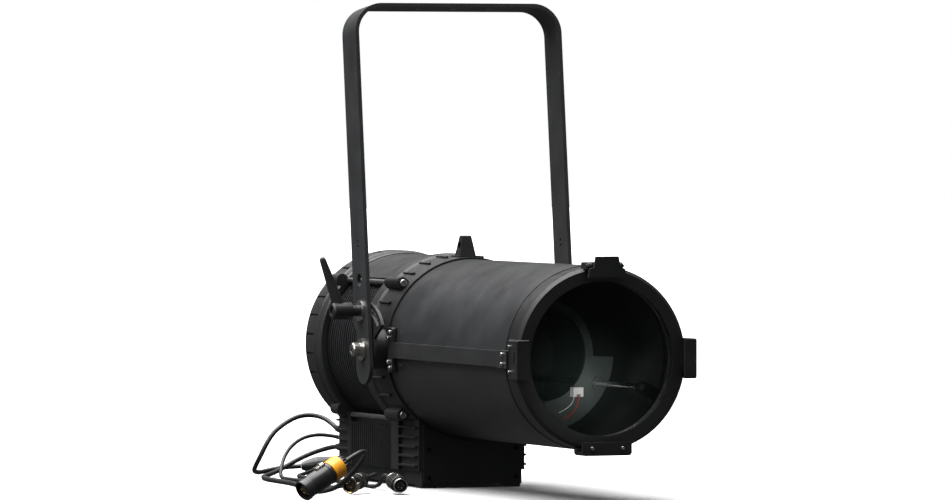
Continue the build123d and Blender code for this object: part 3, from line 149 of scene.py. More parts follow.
# ---- cord routes, from the gland to the connector ------------------------------------------------
POWER_IN_ROUTE = [
    (-0.074, 0.4425, 0.048), (-0.074, 0.4645, 0.048), (-0.078, 0.4885, 0.045),
    (-0.094, 0.5085, 0.038), (-0.118, 0.5165, 0.027), (-0.144, 0.5085, 0.015),
    (-0.168, 0.4945, 0.007), (-0.19, 0.4705, 0.004), (-0.208, 0.4365, 0.004),
    (-0.22, 0.3965, 0.004), (-0.228, 0.3505, 0.004), (-0.23, 0.3005, 0.004),
    (-0.234, 0.2485, 0.004), (-0.242, 0.1985, 0.004), (-0.2525, 0.1505, 0.004),
    (-0.266, 0.1025, 0.004), (-0.276, 0.0545, 0.004), (-0.283, 0.0145, 0.004),
    (-0.282, -0.0235, 0.0045), (-0.275, -0.0575, 0.012), (-0.268, -0.0875, 0.028),
    (-0.262, -0.1135, 0.046), (-0.26, -0.1375, 0.062), (-0.268, -0.1595, 0.07),
    (-0.285, -0.1739, 0.0694), (-0.3072, -0.1799, 0.0572),
]
POWER_OUT_ROUTE = [
    (-0.074, 0.4425, 0.076), (-0.074, 0.4645, 0.076), (-0.074, 0.4885, 0.084),
    (-0.08, 0.5085, 0.092), (-0.095, 0.5205, 0.096), (-0.116, 0.5245, 0.094),
    (-0.138, 0.5225, 0.084), (-0.16, 0.5185, 0.069), (-0.174, 0.5145, 0.05),
    (-0.183, 0.5175, 0.03), (-0.186, 0.5325, 0.014), (-0.18, 0.5515, 0.0065),
    (-0.166, 0.5655, 0.004), (-0.145, 0.5725, 0.008), (-0.122, 0.5675, 0.012),
    (-0.098, 0.5585, 0.0133),
]
DATA_IN_ROUTE = [
    (-0.05, 0.4425, 0.058), (-0.05, 0.4605, 0.058), (-0.054, 0.4785, 0.06),
    (-0.068, 0.4925, 0.063), (-0.092, 0.4985, 0.066), (-0.118, 0.4945, 0.062),
    (-0.14, 0.4865, 0.051), (-0.156, 0.4765, 0.036), (-0.168, 0.4605, 0.02),
    (-0.178, 0.4385, 0.008), (-0.186, 0.4105, 0.0032), (-0.19, 0.3745, 0.0032),
    (-0.188, 0.3325, 0.0032), (-0.184, 0.2865, 0.0032), (-0.188, 0.2385, 0.0032),
    (-0.2, 0.1925, 0.0032), (-0.216, 0.1485, 0.0032), (-0.221, 0.1145, 0.0032),
    (-0.216, 0.0845, 0.005), (-0.203, 0.0625, 0.012), (-0.186, 0.0465, 0.02),
    (-0.181, 0.0265, 0.026), (-0.1873, 0.0091, 0.0267), (-0.2039, -0.005, 0.0234),
]
DATA_OUT_ROUTE = [
    (-0.05, 0.4425, 0.034), (-0.05, 0.4605, 0.034), (-0.055, 0.4805, 0.03),
    (-0.07, 0.4965, 0.022), (-0.092, 0.5025, 0.012), (-0.116, 0.4945, 0.005),
    (-0.134, 0.4745, 0.0032), (-0.146, 0.4425, 0.0032), (-0.15, 0.3985, 0.0032),
    (-0.146, 0.3505, 0.0032), (-0.14, 0.3025, 0.0032), (-0.138, 0.2565, 0.0032),
    (-0.142, 0.2085, 0.0032), (-0.148, 0.1605, 0.0032), (-0.152, 0.1105, 0.0032),
    (-0.155, 0.0785, 0.006), (-0.161, 0.0505, 0.014), (-0.168, 0.0265, 0.023),
    (-0.1738, -0.0019, 0.0263), (-0.176, -0.0235, 0.023),
]


# ---- shared shader groups ------------------------------------------------------------------------
def start_group(name, inputs, outputs):
    """Empty shader group with named sockets; gives the group, its input node and output node."""
    tree = bpy.data.node_groups.new(name, "ShaderNodeTree")
    for label, kind, value in inputs:
        socket = tree.interface.new_socket(name=label, in_out="INPUT", socket_type=kind)
        if value is not None:
            socket.default_value = value
    for label, kind in outputs:
        tree.interface.new_socket(name=label, in_out="OUTPUT", socket_type=kind)
    return tree, tree.nodes.new("NodeGroupInput"), tree.nodes.new("NodeGroupOutput")


def noise(tree, vector, scale, detail=3.0, roughness=0.55):
    """Noise texture read at a vector times a scale, which may be a socket."""
    node = tree.nodes.new("ShaderNodeTexNoise")
    node.inputs["Detail"].default_value = detail
    node.inputs["Roughness"].default_value = roughness
    tree.links.new(vector, node.inputs["Vector"])
    if isinstance(scale, (int, float)):
        node.inputs["Scale"].default_value = scale
    else:
        tree.links.new(scale, node.inputs["Scale"])
    return node.outputs["Fac"]


def maths(tree, operation, first, second=None, clamp=False):
    """Math node on sockets or plain numbers."""
    node = tree.nodes.new("ShaderNodeMath")
    node.operation = operation
    node.use_clamp = clamp
    for slot, value in zip(node.inputs, (first, second)):
        if value is None:
            continue
        if isinstance(value, (int, float)):
            slot.default_value = value
        else:
            tree.links.new(value, slot)
    return node.outputs[0]


def spread(tree, value, low, high, to_low=0.0, to_high=1.0):
    """Clamped straight-line map of a value from one range to another."""
    node = tree.nodes.new("ShaderNodeMapRange")
    tree.links.new(value, node.inputs["Value"])
    ends = {"From Min": low, "From Max": high, "To Min": to_low, "To Max": to_high}
    for label, number in ends.items():
        node.inputs[label].default_value = number
    return node.outputs["Result"]


def grain_group():
    """Sprayed or cast grain: fine noise gives the height, coarse noise gives the mottle."""
    tree, entry, end = start_group(
        "surface_grain",
        [("Vector", "NodeSocketVector", None), ("Scale", "NodeSocketFloat", 900.0)],
        [("Height", "NodeSocketFloat"), ("Mottle", "NodeSocketFloat")],
    )
    fine = noise(tree, entry.outputs["Vector"], entry.outputs["Scale"], 2.0)
    coarse_scale = maths(tree, "MULTIPLY", entry.outputs["Scale"], MOTTLE_SHARE)
    coarse = noise(tree, entry.outputs["Vector"], coarse_scale, 4.0)
    tree.links.new(fine, end.inputs["Height"])
    tree.links.new(coarse, end.inputs["Mottle"])


def dust_group():
    """Dust that settles on what faces up: the normal's upward part times broken noise."""
    tree, entry, end = start_group(
        "settled_dust",
        [("Vector", "NodeSocketVector", None), ("Amount", "NodeSocketFloat", 0.3)],
        [("Mask", "NodeSocketFloat")],
    )
    normal = tree.nodes.new("ShaderNodeNewGeometry").outputs["Normal"]
    split = tree.nodes.new("ShaderNodeSeparateXYZ")
    tree.links.new(normal, split.inputs[0])
    upward = spread(tree, split.outputs["Z"], 0.35, 1.0)
    broken = spread(tree, noise(tree, entry.outputs["Vector"], DUST_SCALE, 6.0, 0.7), 0.4, 0.75)
    mask = maths(tree, "MULTIPLY", maths(tree, "MULTIPLY", upward, broken), entry.outputs["Amount"])
    tree.links.new(mask, end.inputs["Mask"])


def scuff_group():
    """Handling marks: sparse patches crossed by fine stretched scratches."""
    tree, entry, end = start_group(
        "handling_scuffs",
        [("Vector", "NodeSocketVector", None), ("Amount", "NodeSocketFloat", 0.3)],
        [("Mask", "NodeSocketFloat")],
    )
    stretch = tree.nodes.new("ShaderNodeVectorMath")
    stretch.operation = "MULTIPLY"
    stretch.inputs[1].default_value = SCRATCH_STRETCH
    tree.links.new(entry.outputs["Vector"], stretch.inputs[0])
    lines = spread(tree, noise(tree, stretch.outputs[0], SCRATCH_SCALE, 2.0), 0.62, 0.72)
    patches = spread(tree, noise(tree, entry.outputs["Vector"], SCUFF_SCALE, 3.0), 0.5, 0.68)
    mask = maths(tree, "MULTIPLY", maths(tree, "MULTIPLY", lines, patches), entry.outputs["Amount"])
    tree.links.new(mask, end.inputs["Mask"])


def brush_group():
    """Brushed or turned metal: noise squeezed along one axis gives fine parallel lines."""
    tree, entry, end = start_group(
        "brushed_lines",
        [("Vector", "NodeSocketVector", None), ("Stretch", "NodeSocketVector", (1.0, 1.0, 0.05))],
        [("Lines", "NodeSocketFloat")],
    )
    squeeze = tree.nodes.new("ShaderNodeVectorMath")
    squeeze.operation = "MULTIPLY"
    tree.links.new(entry.outputs["Vector"], squeeze.inputs[0])
    tree.links.new(entry.outputs["Stretch"], squeeze.inputs[1])
    tree.links.new(noise(tree, squeeze.outputs[0], BRUSH_SCALE, 3.0), end.inputs["Lines"])


def place_group(tree, name, vector, **values):
    """A shared group placed in a material, with its own values."""
    node = tree.nodes.new("ShaderNodeGroup")
    node.node_tree = bpy.data.node_groups[name]
    tree.links.new(vector, node.inputs["Vector"])
    for label, value in values.items():
        node.inputs[label].default_value = value
    return node


def blend_colours(tree, mask, first, second):
    """Colour between two by a mask; each is a socket or a plain colour."""
    node = tree.nodes.new("ShaderNodeMix")
    node.data_type = "RGBA"
    tree.links.new(mask, node.inputs["Factor"])
    for slot, value in ((node.inputs[6], first), (node.inputs[7], second)):
        if isinstance(value, (tuple, list)):
            slot.default_value = (*value[:3], 1.0)
        else:
            tree.links.new(value, slot)
    return node.outputs[2]


def start_material(name):
    """Empty Principled material; gives it with its tree, its shader and the object coordinates."""
    material = bpy.data.materials.new(name)
    material.use_nodes = True
    tree = material.node_tree
    shader = tree.nodes["Principled BSDF"]
    where = tree.nodes.new("ShaderNodeTexCoord").outputs["Object"]
    return material, tree, shader, where


def bump(tree, shader, height, distance, edge=0.0):
    """Bump of that depth into the shader's normal, over rounded edges where edge is above zero."""
    node = tree.nodes.new("ShaderNodeBump")
    node.inputs["Strength"].default_value = 1.0
    node.inputs["Distance"].default_value = distance
    tree.links.new(height, node.inputs["Height"])
    if edge > 0:
        rounding = tree.nodes.new("ShaderNodeBevel")
        rounding.samples = EDGE_SAMPLES
        rounding.inputs["Radius"].default_value = edge
        tree.links.new(rounding.outputs["Normal"], node.inputs["Normal"])
    tree.links.new(node.outputs["Normal"], shader.inputs["Normal"])


def coat(
    name, colour, roughness, grain=900.0, depth=0.00004, dust=0.25, scuffs=0.25, edge=0.0006
):
    """Sprayed, cast or moulded dark finish with grain, mottle, dust and handling marks."""
    material, tree, shader, where = start_material(name)
    surface = place_group(tree, "surface_grain", where, Scale=grain)
    settled = place_group(tree, "settled_dust", where, Amount=dust)
    worn = place_group(tree, "handling_scuffs", where, Amount=scuffs)
    darker = tuple(part * 0.82 for part in colour)
    lighter = tuple(part * 1.2 + 0.001 for part in colour)
    base = blend_colours(tree, spread(tree, surface.outputs["Mottle"], 0.3, 0.7), darker, lighter)
    base = blend_colours(tree, worn.outputs["Mask"], base, SCUFF_COLOUR)
    base = blend_colours(tree, settled.outputs["Mask"], base, DUST_COLOUR)
    tree.links.new(base, shader.inputs["Base Color"])
    rough = spread(tree, surface.outputs["Mottle"], 0.25, 0.75, roughness - 0.05, roughness + 0.06)
    powdery = maths(tree, "MULTIPLY", settled.outputs["Mask"], 0.5)
    rough = maths(tree, "ADD", rough, powdery, clamp=True)
    tree.links.new(rough, shader.inputs["Roughness"])
    bump(tree, shader, surface.outputs["Height"], depth, edge)
    return material


def bright_metal(name, colour, roughness, stretch=(1.0, 1.0, 0.05), edge=0.0004):
    """Turned or plated metal with fine lines and slightly stained patches."""
    material, tree, shader, where = start_material(name)
    lines = place_group(tree, "brushed_lines", where, Stretch=stretch)
    stained = spread(tree, noise(tree, where, STAIN_SCALE, 5.0, 0.65), 0.45, 0.8)
    darker = tuple(part * 0.6 for part in colour)
    tree.links.new(blend_colours(tree, stained, colour, darker), shader.inputs["Base Color"])
    rough = spread(tree, lines.outputs["Lines"], 0.3, 0.7, roughness - 0.06, roughness + 0.1)
    tree.links.new(rough, shader.inputs["Roughness"])
    shader.inputs["Metallic"].default_value = 1.0
    bump(tree, shader, lines.outputs["Lines"], LINE_DEPTH, edge)
    return material


def screw_metal(name):
    """Plated screws, of which those that hold the front cover, low under the barrel's overhang, are
    drawn near black as painted shade.
    """
    material = bright_metal(name, PLATED, 0.26)
    tree = material.node_tree
    colour = tree.nodes["Principled BSDF"].inputs["Base Color"]
    where = tree.nodes.new("ShaderNodeTexCoord").outputs["Object"]
    parts = tree.nodes.new("ShaderNodeSeparateXYZ")
    tree.links.new(where, parts.inputs["Vector"])
    gap = maths(tree, "ABSOLUTE", maths(tree, "SUBTRACT", parts.outputs["Y"], COVER_LOW.y))
    near = spread(tree, gap, COVER_REACH, COVER_REACH - MM)
    low = spread(tree, parts.outputs["Z"], COVER_HIGH.z + MM, COVER_HIGH.z)
    # painted shade: this mask picks the screws on the front cover, in the barrel's shadow, and
    # darkens them
    mask = maths(tree, "MULTIPLY", near, low)
    plated = colour.links[0].from_socket
    tree.links.new(blend_colours(tree, mask, plated, PAINTED_SHADE_BLACK), colour)
    return material


def clear_glass(name, colour, alpha, roughness=0.02):
    """Coated glass seen as a thin tinted layer, a little greasy in patches."""
    material, tree, shader, where = start_material(name)
    film = spread(tree, noise(tree, where, FILM_SCALE, 4.0), 0.5, 0.8, roughness, roughness + 0.08)
    tree.links.new(film, shader.inputs["Roughness"])
    shader.inputs["Base Color"].default_value = (*colour, 1.0)
    shader.inputs["IOR"].default_value = GLASS_INDEX
    shader.inputs["Alpha"].default_value = alpha
    return material


def circuit(name, colour, trace):
    """Solder-masked board: dark ground, lighter straight traces and small bright pads."""
    material, tree, shader, where = start_material(name)
    cells = tree.nodes.new("ShaderNodeTexVoronoi")
    cells.distance = "CHEBYCHEV"
    cells.inputs["Scale"].default_value = BOARD_SCALE
    tree.links.new(where, cells.inputs["Vector"])
    traces = spread(tree, cells.outputs["Distance"], 0.28, 0.34)
    pads = spread(tree, cells.outputs["Distance"], 0.12, 0.08)
    base = blend_colours(tree, traces, colour, trace)
    base = blend_colours(tree, pads, base, PAD_COLOUR)
    tree.links.new(base, shader.inputs["Base Color"])
    tree.links.new(spread(tree, pads, 0.0, 1.0, 0.4, 0.25), shader.inputs["Roughness"])
    bump(tree, shader, cells.outputs["Distance"], TRACE_DEPTH)
    return material


def rubber(name, colour, roughness=0.55):
    """Extruded cord sheath: soft mottle, very fine grain, a little dust and few handling marks."""
    return coat(name, colour, roughness, 2200.0, 0.00002, 0.35, 0.15, 0.0)


TINTED_COATS = {  # share of the coat's colour, roughness, grain, depth
    "ring_coat": (0.55, 0.42),
    "cast_coat": (0.8, 0.46, 600.0, 0.00008),
    "yoke_coat": (1.35, 0.5, 1100.0),
}
FIXED_COATS = {  # colour, roughness, grain, depth, dust, scuffs, edge
    "inner_black": ((0.006, 0.008, 0.007), 0.6, 500.0, 0.0001, 0.1, 0.0),
    "fin_anodised": ((0.022, 0.023, 0.025), 0.36, 1500.0, 0.00002, 0.2, 0.0),
    "moulded_black": ((0.016, 0.016, 0.017), 0.4, 1300.0, 0.00005),
    "plug_black": ((0.018, 0.018, 0.019), 0.3, 1300.0, 0.00003, 0.1),
    "carriage_grey": ((0.05, 0.062, 0.056), 0.45, 900.0, 0.00003, 0.0),
    "white_nylon": ((0.72, 0.73, 0.7), 0.4, 1300.0, 0.00002, 0.0, 0.0),
    "wire_red": ((0.5, 0.02, 0.015), 0.4, 1300.0, 0.00001, 0.0, 0.0, 0.0),
    "wire_white": ((0.6, 0.6, 0.58), 0.4, 1300.0, 0.00001, 0.0, 0.0, 0.0),
}
METALS = {  # colour, roughness, stretch of the lines
    "steel": (PLATED, 0.26),
    "rod_steel": ((0.5, 0.5, 0.49), 0.2, (1.0, 0.05, 1.0)),
    "dull_steel": ((0.34, 0.34, 0.34), 0.36, (1.0, 0.05, 1.0)),
    "cast_alloy": ((0.55, 0.55, 0.54), 0.4, (0.3, 1.0, 1.0)),
    "nickel": ((0.7, 0.67, 0.6), 0.18, (0.2, 1.0, 1.0)),
    "gold": ((0.85, 0.58, 0.22), 0.2, (0.2, 1.0, 1.0)),
}
GLASSES = {  # colour, alpha
    "front_glass": ((0.006, 0.012, 0.009), 0.16),
    "lens_glass": ((0.008, 0.015, 0.012), 0.24),
}
BOARDS = {  # ground, traces
    "emitter_board": ((0.5, 0.5, 0.46), (0.8, 0.42, 0.12)),
    "driver_board": ((0.01, 0.07, 0.03), (0.02, 0.16, 0.07)),
}


def make_materials(finish):
    """Every finish of the object, from the colours that the user sets."""
    for build in (grain_group, dust_group, scuff_group, brush_group):
        build()
    colour = tuple(finish.coat_colour)
    sleeve = tuple(finish.sleeve_colour)
    MATERIALS["satin_coat"] = coat(
        "satin_coat", colour, finish.coat_roughness, dust=0.08, scuffs=0.05
    )
    MATERIALS["amber_sleeve"] = coat("amber_sleeve", sleeve, 0.32, 1300.0, 0.00002, 0.0, 0.05)
    for name, (share, *rest) in TINTED_COATS.items():
        MATERIALS[name] = coat(name, tuple(part * share for part in colour), *rest)
    for name, values in FIXED_COATS.items():
        MATERIALS[name] = coat(name, *values)
    for name, values in METALS.items():
        MATERIALS[name] = bright_metal(name, *values)
    for name, values in GLASSES.items():
        MATERIALS[name] = clear_glass(name, *values)
    for name, values in BOARDS.items():
        MATERIALS[name] = circuit(name, *values)
    MATERIALS["screw_steel"] = screw_metal("screw_steel")
    MATERIALS["cord_rubber"] = rubber("cord_rubber", (0.017, 0.017, 0.018), 0.42)
    MATERIALS["seal_rubber"] = rubber("seal_rubber", (0.012, 0.012, 0.012))


NODE_FINISHES = {
    "satin_coat": ["barrel", "sink_cover", "side_rails"],
    "ring_coat": [
        "front_ring", "clip_left", "clip_right", "clip_bottom", "latch_base", "top_latch",
    ],
    "cast_coat": ["front_frame", "rear_frame", "safety_eye", "quadrant_plates", "rear_grille"],
    "yoke_coat": ["yoke"],
    "fin_anodised": ["heat_sink", "driver_housing"],
    "inner_black": [
        "gate_plate", "rod_bracket", "fan_frame", "fan_rotor", "front_cover", "base_plate",
    ],
    "carriage_grey": ["zoom_carriage"],
    "moulded_black": [
        "clamp_hub_left", "clamp_hub_right", "clamp_lever_left", "clamp_lever_right",
        "control_panel", "cable_glands",
        "menu_button_1", "menu_button_2", "menu_button_3", "menu_button_4",
    ],
    "steel": ["pivot_bolts", "yoke_washers", "clamp_studs"],
    "screw_steel": ["screws"],
    "rod_steel": ["guide_rods", "lead_screw"],
    "dull_steel": ["tie_rods"],
    "cast_alloy": ["glass_retainer", "power_supply", "zoom_motor"],
    "seal_rubber": ["glass_gasket", "feet"],
    "front_glass": ["front_glass"],
    "lens_glass": ["condenser_lens", "zoom_lens"],
    "emitter_board": ["led_board"],
    "driver_board": ["control_board"],
    "amber_sleeve": ["power_sleeve"],
}


# ---- surfaces ------------------------------------------------------------------------------------
def put_mesh(name, points, faces, material):
    """Smooth mesh object from an array of points and an array of four-cornered faces."""
    mesh = bpy.data.meshes.new(name)
    mesh.from_pydata(points.tolist(), [], faces.tolist())
    mesh.polygons.foreach_set("use_smooth", np.full(len(faces), True))
    mesh.materials.append(MATERIALS[material])
    mesh.update()
    piece = bpy.data.objects.new(name, mesh)
    bpy.context.scene.collection.objects.link(piece)
    return piece


def grid_faces(rows, columns, close_rows=False, close_columns=False):
    """Corner numbers of the faces between neighbours on a grid, wrapped round where closed."""
    row = np.arange(rows if close_rows else rows - 1)
    column = np.arange(columns if close_columns else columns - 1)
    first, second = np.meshgrid(row, column, indexing="ij")
    after_row = (first + 1) % rows
    after_column = (second + 1) % columns
    corners = (first * columns + second, first * columns + after_column)
    corners += (after_row * columns + after_column, after_row * columns + second)
    return np.stack([corner.ravel() for corner in corners], axis=1)


def tidy(piece, crease=35.0):
    """Merges doubled points, points the faces outwards and keeps creases sharp."""
    shell = bmesh.new()
    shell.from_mesh(piece.data)
    bmesh.ops.remove_doubles(shell, verts=shell.verts, dist=1e-6)
    bmesh.ops.dissolve_degenerate(shell, edges=shell.edges, dist=1e-7)
    bmesh.ops.recalc_face_normals(shell, faces=shell.faces)
    shell.to_mesh(piece.data)
    shell.free()
    piece.data.set_sharp_from_angle(angle=math.radians(crease))
    return piece


def axes_along(points, length):
    """Place of a connector: its face centre, and its axis pointing from the face to the cord."""
    end = np.array(points[-1])
    heading = end - np.array(points[-2])
    heading /= np.linalg.norm(heading)
    away = -heading
    sideways = np.cross((0.0, 0.0, 1.0), away)
    sideways /= np.linalg.norm(sideways)
    upward = np.cross(away, sideways)
    return end + heading * length, np.stack([sideways, upward, away])


def turned(
    name, outline, place, material, count=72, flutes=0, flute_depth=0.0, centre=(0.0, 0.0)
):
    """Solid of revolution about a place's axis: each outline point (radius, height), in
    millimetres, is carried round a circle. On the outline's outer 30 % the radius also dips by
    flute_depth * (1 - tanh(3 cos(flutes * turn))) / 2."""
    origin, axes = place
    profile = np.array(outline) * MM
    turn = np.linspace(0, 2 * math.pi, count, endpoint=False)
    wave = np.tanh(3 * np.cos(flutes * turn)) if flutes else np.ones(count)
    fluted = profile[:, 0] > 0.7 * profile[:, 0].max()
    radius = profile[:, :1] - fluted[:, None] * flute_depth * MM * (1 - wave) / 2
    across = centre[0] * MM + radius * np.cos(turn)
    upward = centre[1] * MM + radius * np.sin(turn)
    height = np.repeat(profile[:, 1:], count, axis=1)
    local = np.stack([across, upward, height], axis=-1).reshape(-1, 3)
    faces = grid_faces(len(outline), count, close_rows=True, close_columns=True)
    return tidy(put_mesh(name, origin + local @ axes, faces, material))


def swept_box(name, outline, place, start, end, material):
    """Closed outline (across, up), in millimetres, pushed along a place's axis between two
    heights, with its ends drawn in by a small bevel and closed at the outline's middle."""
    origin, axes = place
    shape = np.array(outline) * MM
    middle = shape.mean(axis=0)
    bevel = BEVEL * MM
    size = np.abs(shape - middle).max()
    shrunk = 1 - bevel / size
    stages = ((0.0, start * MM), (shrunk, start * MM), (1.0, start * MM + bevel))
    stages += ((1.0, end * MM - bevel), (shrunk, end * MM), (0.0, end * MM))
    rings = []
    for share, height in stages:
        ring = middle + (shape - middle) * share
        rings.append(np.column_stack([ring, np.full(len(ring), height)]))
    local = np.concatenate(rings)
    faces = grid_faces(len(stages), len(shape), close_columns=True)
    return tidy(put_mesh(name, origin + local @ axes, faces, material), 25.0)


def add_to_body(piece, body=BODY):
    """Makes a piece ride on a body."""
    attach(piece, body)


# ---- settings ------------------------------------------------------------------------------------
class SpotFinish(bpy.types.PropertyGroup):
    """Colours of the coat and the sleeve."""

    coat_colour: bpy.props.FloatVectorProperty(
        name="Coat colour", description="Colour of the sprayed coat", subtype="COLOR", size=3,
        default=(0.021, 0.0218, 0.0232), min=0.0, max=1.0,
    )
    coat_roughness: bpy.props.FloatProperty(
        name="Coat roughness", description="How matt the sprayed coat is", subtype="FACTOR",
        default=0.42, min=0.0, max=1.0,
    )
    sleeve_colour: bpy.props.FloatVectorProperty(
        name="Sleeve colour", description="Colour of the power connector's sleeve", subtype="COLOR",
        size=3, default=(0.86, 0.36, 0.02), min=0.0, max=1.0,
    )


class SpotCords(bpy.types.PropertyGroup):
    """Sizes of the cords and their strain reliefs."""

    power_diameter: bpy.props.FloatProperty(
        name="Power cord", description="Diameter of the power cords", unit="LENGTH", default=0.0075
    )
    data_diameter: bpy.props.FloatProperty(
        name="Data cord", description="Diameter of the data cords", unit="LENGTH", default=0.006
    )
    relief_length: bpy.props.FloatProperty(
        name="Strain relief", description="Length of each tapered strain relief", unit="LENGTH",
        default=0.021,
    )


class SpotStage(bpy.types.PropertyGroup):
    """Camera and lights."""

    camera_azimuth: bpy.props.FloatProperty(
        name="Camera azimuth", description="Turn of the camera about the object", subtype="ANGLE",
        default=math.radians(-22.12),
    )
    camera_pitch: bpy.props.FloatProperty(
        name="Camera pitch", description="Tilt of the camera below level", subtype="ANGLE",
        default=math.radians(1.08),
    )
    camera_place: bpy.props.FloatVectorProperty(
        name="Camera place", description="Where the camera stands", subtype="TRANSLATION", size=3,
        default=(-4.2609, -10.4163, 0.5758),
    )
    lens: bpy.props.FloatProperty(
        name="Lens", description="Focal length in millimetres", default=281.3
    )
    key_strength: bpy.props.FloatProperty(
        name="Overhead light", description="Strength of the broad overhead light", default=8.5
    )
    beam_power: bpy.props.FloatProperty(
        name="Inner beam", description="Power of the beam into the barrel", unit="POWER",
        default=1100.0,
    )
    side_power: bpy.props.FloatProperty(
        name="Side light", description="Power of the softbox at the left", unit="POWER",
        default=22.0,
    )


# ---- finishes ------------------------------------------------------------------------------------
class SPOT_OT_finishes(bpy.types.Operator):
    """Gives every solid of the frame its finish"""

    bl_idname = "spot.finishes"
    bl_label = "Finishes"

    def execute(self, context):
        make_materials(context.scene.spot_finish)
        for finish, nodes in NODE_FINISHES.items():
            for node in nodes:
                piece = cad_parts[node]
                piece.data.materials.clear()
                piece.data.materials.append(MATERIALS[finish])
        return {"FINISHED"}


# ---- cords ---------------------------------------------------------------------------------------
def cord_curve(name, points, diameter, material="cord_rubber"):
    """Round cord on a spline of order three whose control points are the route's points."""
    curve = bpy.data.curves.new(name, "CURVE")
    curve.dimensions = "3D"
    curve.bevel_depth = diameter / 2
    curve.bevel_resolution = 5
    curve.use_fill_caps = True
    spline = curve.splines.new("NURBS")
    spline.points.add(len(points) - 1)
    weights = np.ones((len(points), 1))
    spline.points.foreach_set("co", np.hstack([np.array(points), weights]).ravel())
    spline.order_u = 3
    spline.use_endpoint_u = True
    spline.resolution_u = 10
    curve.materials.append(MATERIALS[material])
    piece = bpy.data.objects.new(name, curve)
    bpy.context.scene.collection.objects.link(piece)
    return piece


def strain_relief(name, points, diameter, length):
    """Tapered sleeve round the cord's first straight run: a turned profile whose ribs shrink as
    (1 - rib / RIBS) ** RELIEF_TAPER."""
    place = (np.array(points[0]), RELIEF_AXES)
    cord = diameter / 2 / MM
    outline = [(cord + SHEATH_GAP, -1.0)]
    pitch = length / MM / RIBS
    for rib in range(RIBS):
        radius = cord + RELIEF_FLARE * (1 - rib / RIBS) ** RELIEF_TAPER + RELIEF_WALL
        start = rib * pitch
        groove = radius - RELIEF_GROOVE
        outline += [(radius, start - 0.8), (radius - 0.1, start + 0.62 * pitch)]
        outline += [(groove, start + 0.7 * pitch), (groove, start + 0.92 * pitch)]
    outline.append((cord + SHEATH_GAP, length / MM))
    return turned(name, outline, place, "moulded_black", 48)


class SPOT_OT_cords(bpy.types.Operator):
    """Lays the four cords and their strain reliefs"""

    bl_idname = "spot.cords"
    bl_label = "Cords"

    def execute(self, context):
        sizes = context.scene.spot_cords
        power = sizes.power_diameter
        data = sizes.data_diameter
        table = (
            ("power_in", POWER_IN_ROUTE, power, POWER_IN_LENGTH, "medium"),
            ("power_out", POWER_OUT_ROUTE, power, POWER_OUT_LENGTH, "medium"),
            ("data_in", DATA_IN_ROUTE, data, DATA_IN_LENGTH, "limp"),
            ("data_out", DATA_OUT_ROUTE, data, DATA_OUT_LENGTH, "limp"),
        )
        for name, points, diameter, length, stiffness in table:
            piece = cord_curve(f"{name}_lead", points, diameter)
            relief = strain_relief(f"{name}_relief", points, diameter, sizes.relief_length)
            add_to_body(piece)
            add_to_body(relief)
            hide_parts(f"cord_{name}")
        return {"FINISHED"}


# ---- connectors ----------------------------------------------------------------------------------
def pins(name, circle, count, place, radius, start, end, material, first=0.0):
    """Round contacts standing on a circle inside a connector."""
    found = []
    for number in range(count):
        turn = first + 2 * math.pi * number / count
        tip = [(0, start), (radius * 0.6, start), (radius, start + 0.6)]
        outline = [*tip, (radius, end), (0, end)]
        centre = (circle * math.cos(turn), circle * math.sin(turn))
        found.append(turned(f"{name}_{number}", outline, place, material, 20, centre=centre))
    return found


def power_connector():
    """Twist-lock power connector: body with bayonet key, contact core, cord nut and latch."""
    place = axes_along(POWER_IN_ROUTE, PLUG_LENGTH)
    shell = turned("power_plug_shell", [
        (13.4, 0.0), (15.0, 0.0), (15.8, 0.8), (15.8, 11.0), (15.0, 12.0), (15.0, 16.0),
        (16.0, 17.5), (16.0, 54.5), (15.2, 55.8), (8.0, 55.8), (8.0, 15.0), (13.4, 14.0),
    ], place, "plug_black", 96)
    core = turned("power_plug_core", [
        (0, 3.0), (6.8, 3.0), (7.6, 3.8), (7.6, 15.0), (0, 15.0),
    ], place, "plug_black")
    rim = turned("power_plug_rim", [
        (13.0, 11.0), (13.6, 11.0), (13.6, 12.6), (13.0, 12.6),
    ], place, "nickel")
    nut = turned("power_plug_nut", [
        (4.2, 76.1), (14.6, 76.1), (14.6, 81.0), (13.4, 83.0), (8.0, 88.0), (5.4, 90.0),
        (3.8, 90.0),
    ], place, "plug_black", 108, flutes=18, flute_depth=0.9)
    lip = turned("power_plug_collar", [
        (15.6, 50.5), (16.6, 50.9), (16.6, 55.2), (15.6, 55.6),
    ], place, "plug_black", 96)
    latch = swept_box("power_plug_latch", [
        (-4.4, 14.4), (4.4, 14.4), (4.4, 18.0), (3.4, 19.2), (-3.4, 19.2), (-4.4, 18.0),
    ], place, 35, 52, "nickel")
    tab = swept_box("power_plug_latch_tab", [
        (-3.2, 18.8), (3.2, 18.8), (3.2, 20.4), (2.4, 21.0), (-2.4, 21.0), (-3.2, 20.4),
    ], place, 44, 51, "nickel")
    key = swept_box("power_plug_key", [
        (-2.2, -16.9), (2.2, -16.9), (2.2, -14.8), (-2.2, -14.8),
    ], place, 2, 11, "plug_black")
    contacts = pins("power_plug_contact", 4.0, 3, place, 1.3, 1.2, 4.0, "gold", 0.5)
    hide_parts("power_plug")
    return [shell, core, rim, nut, lip, latch, tab, key, *contacts]


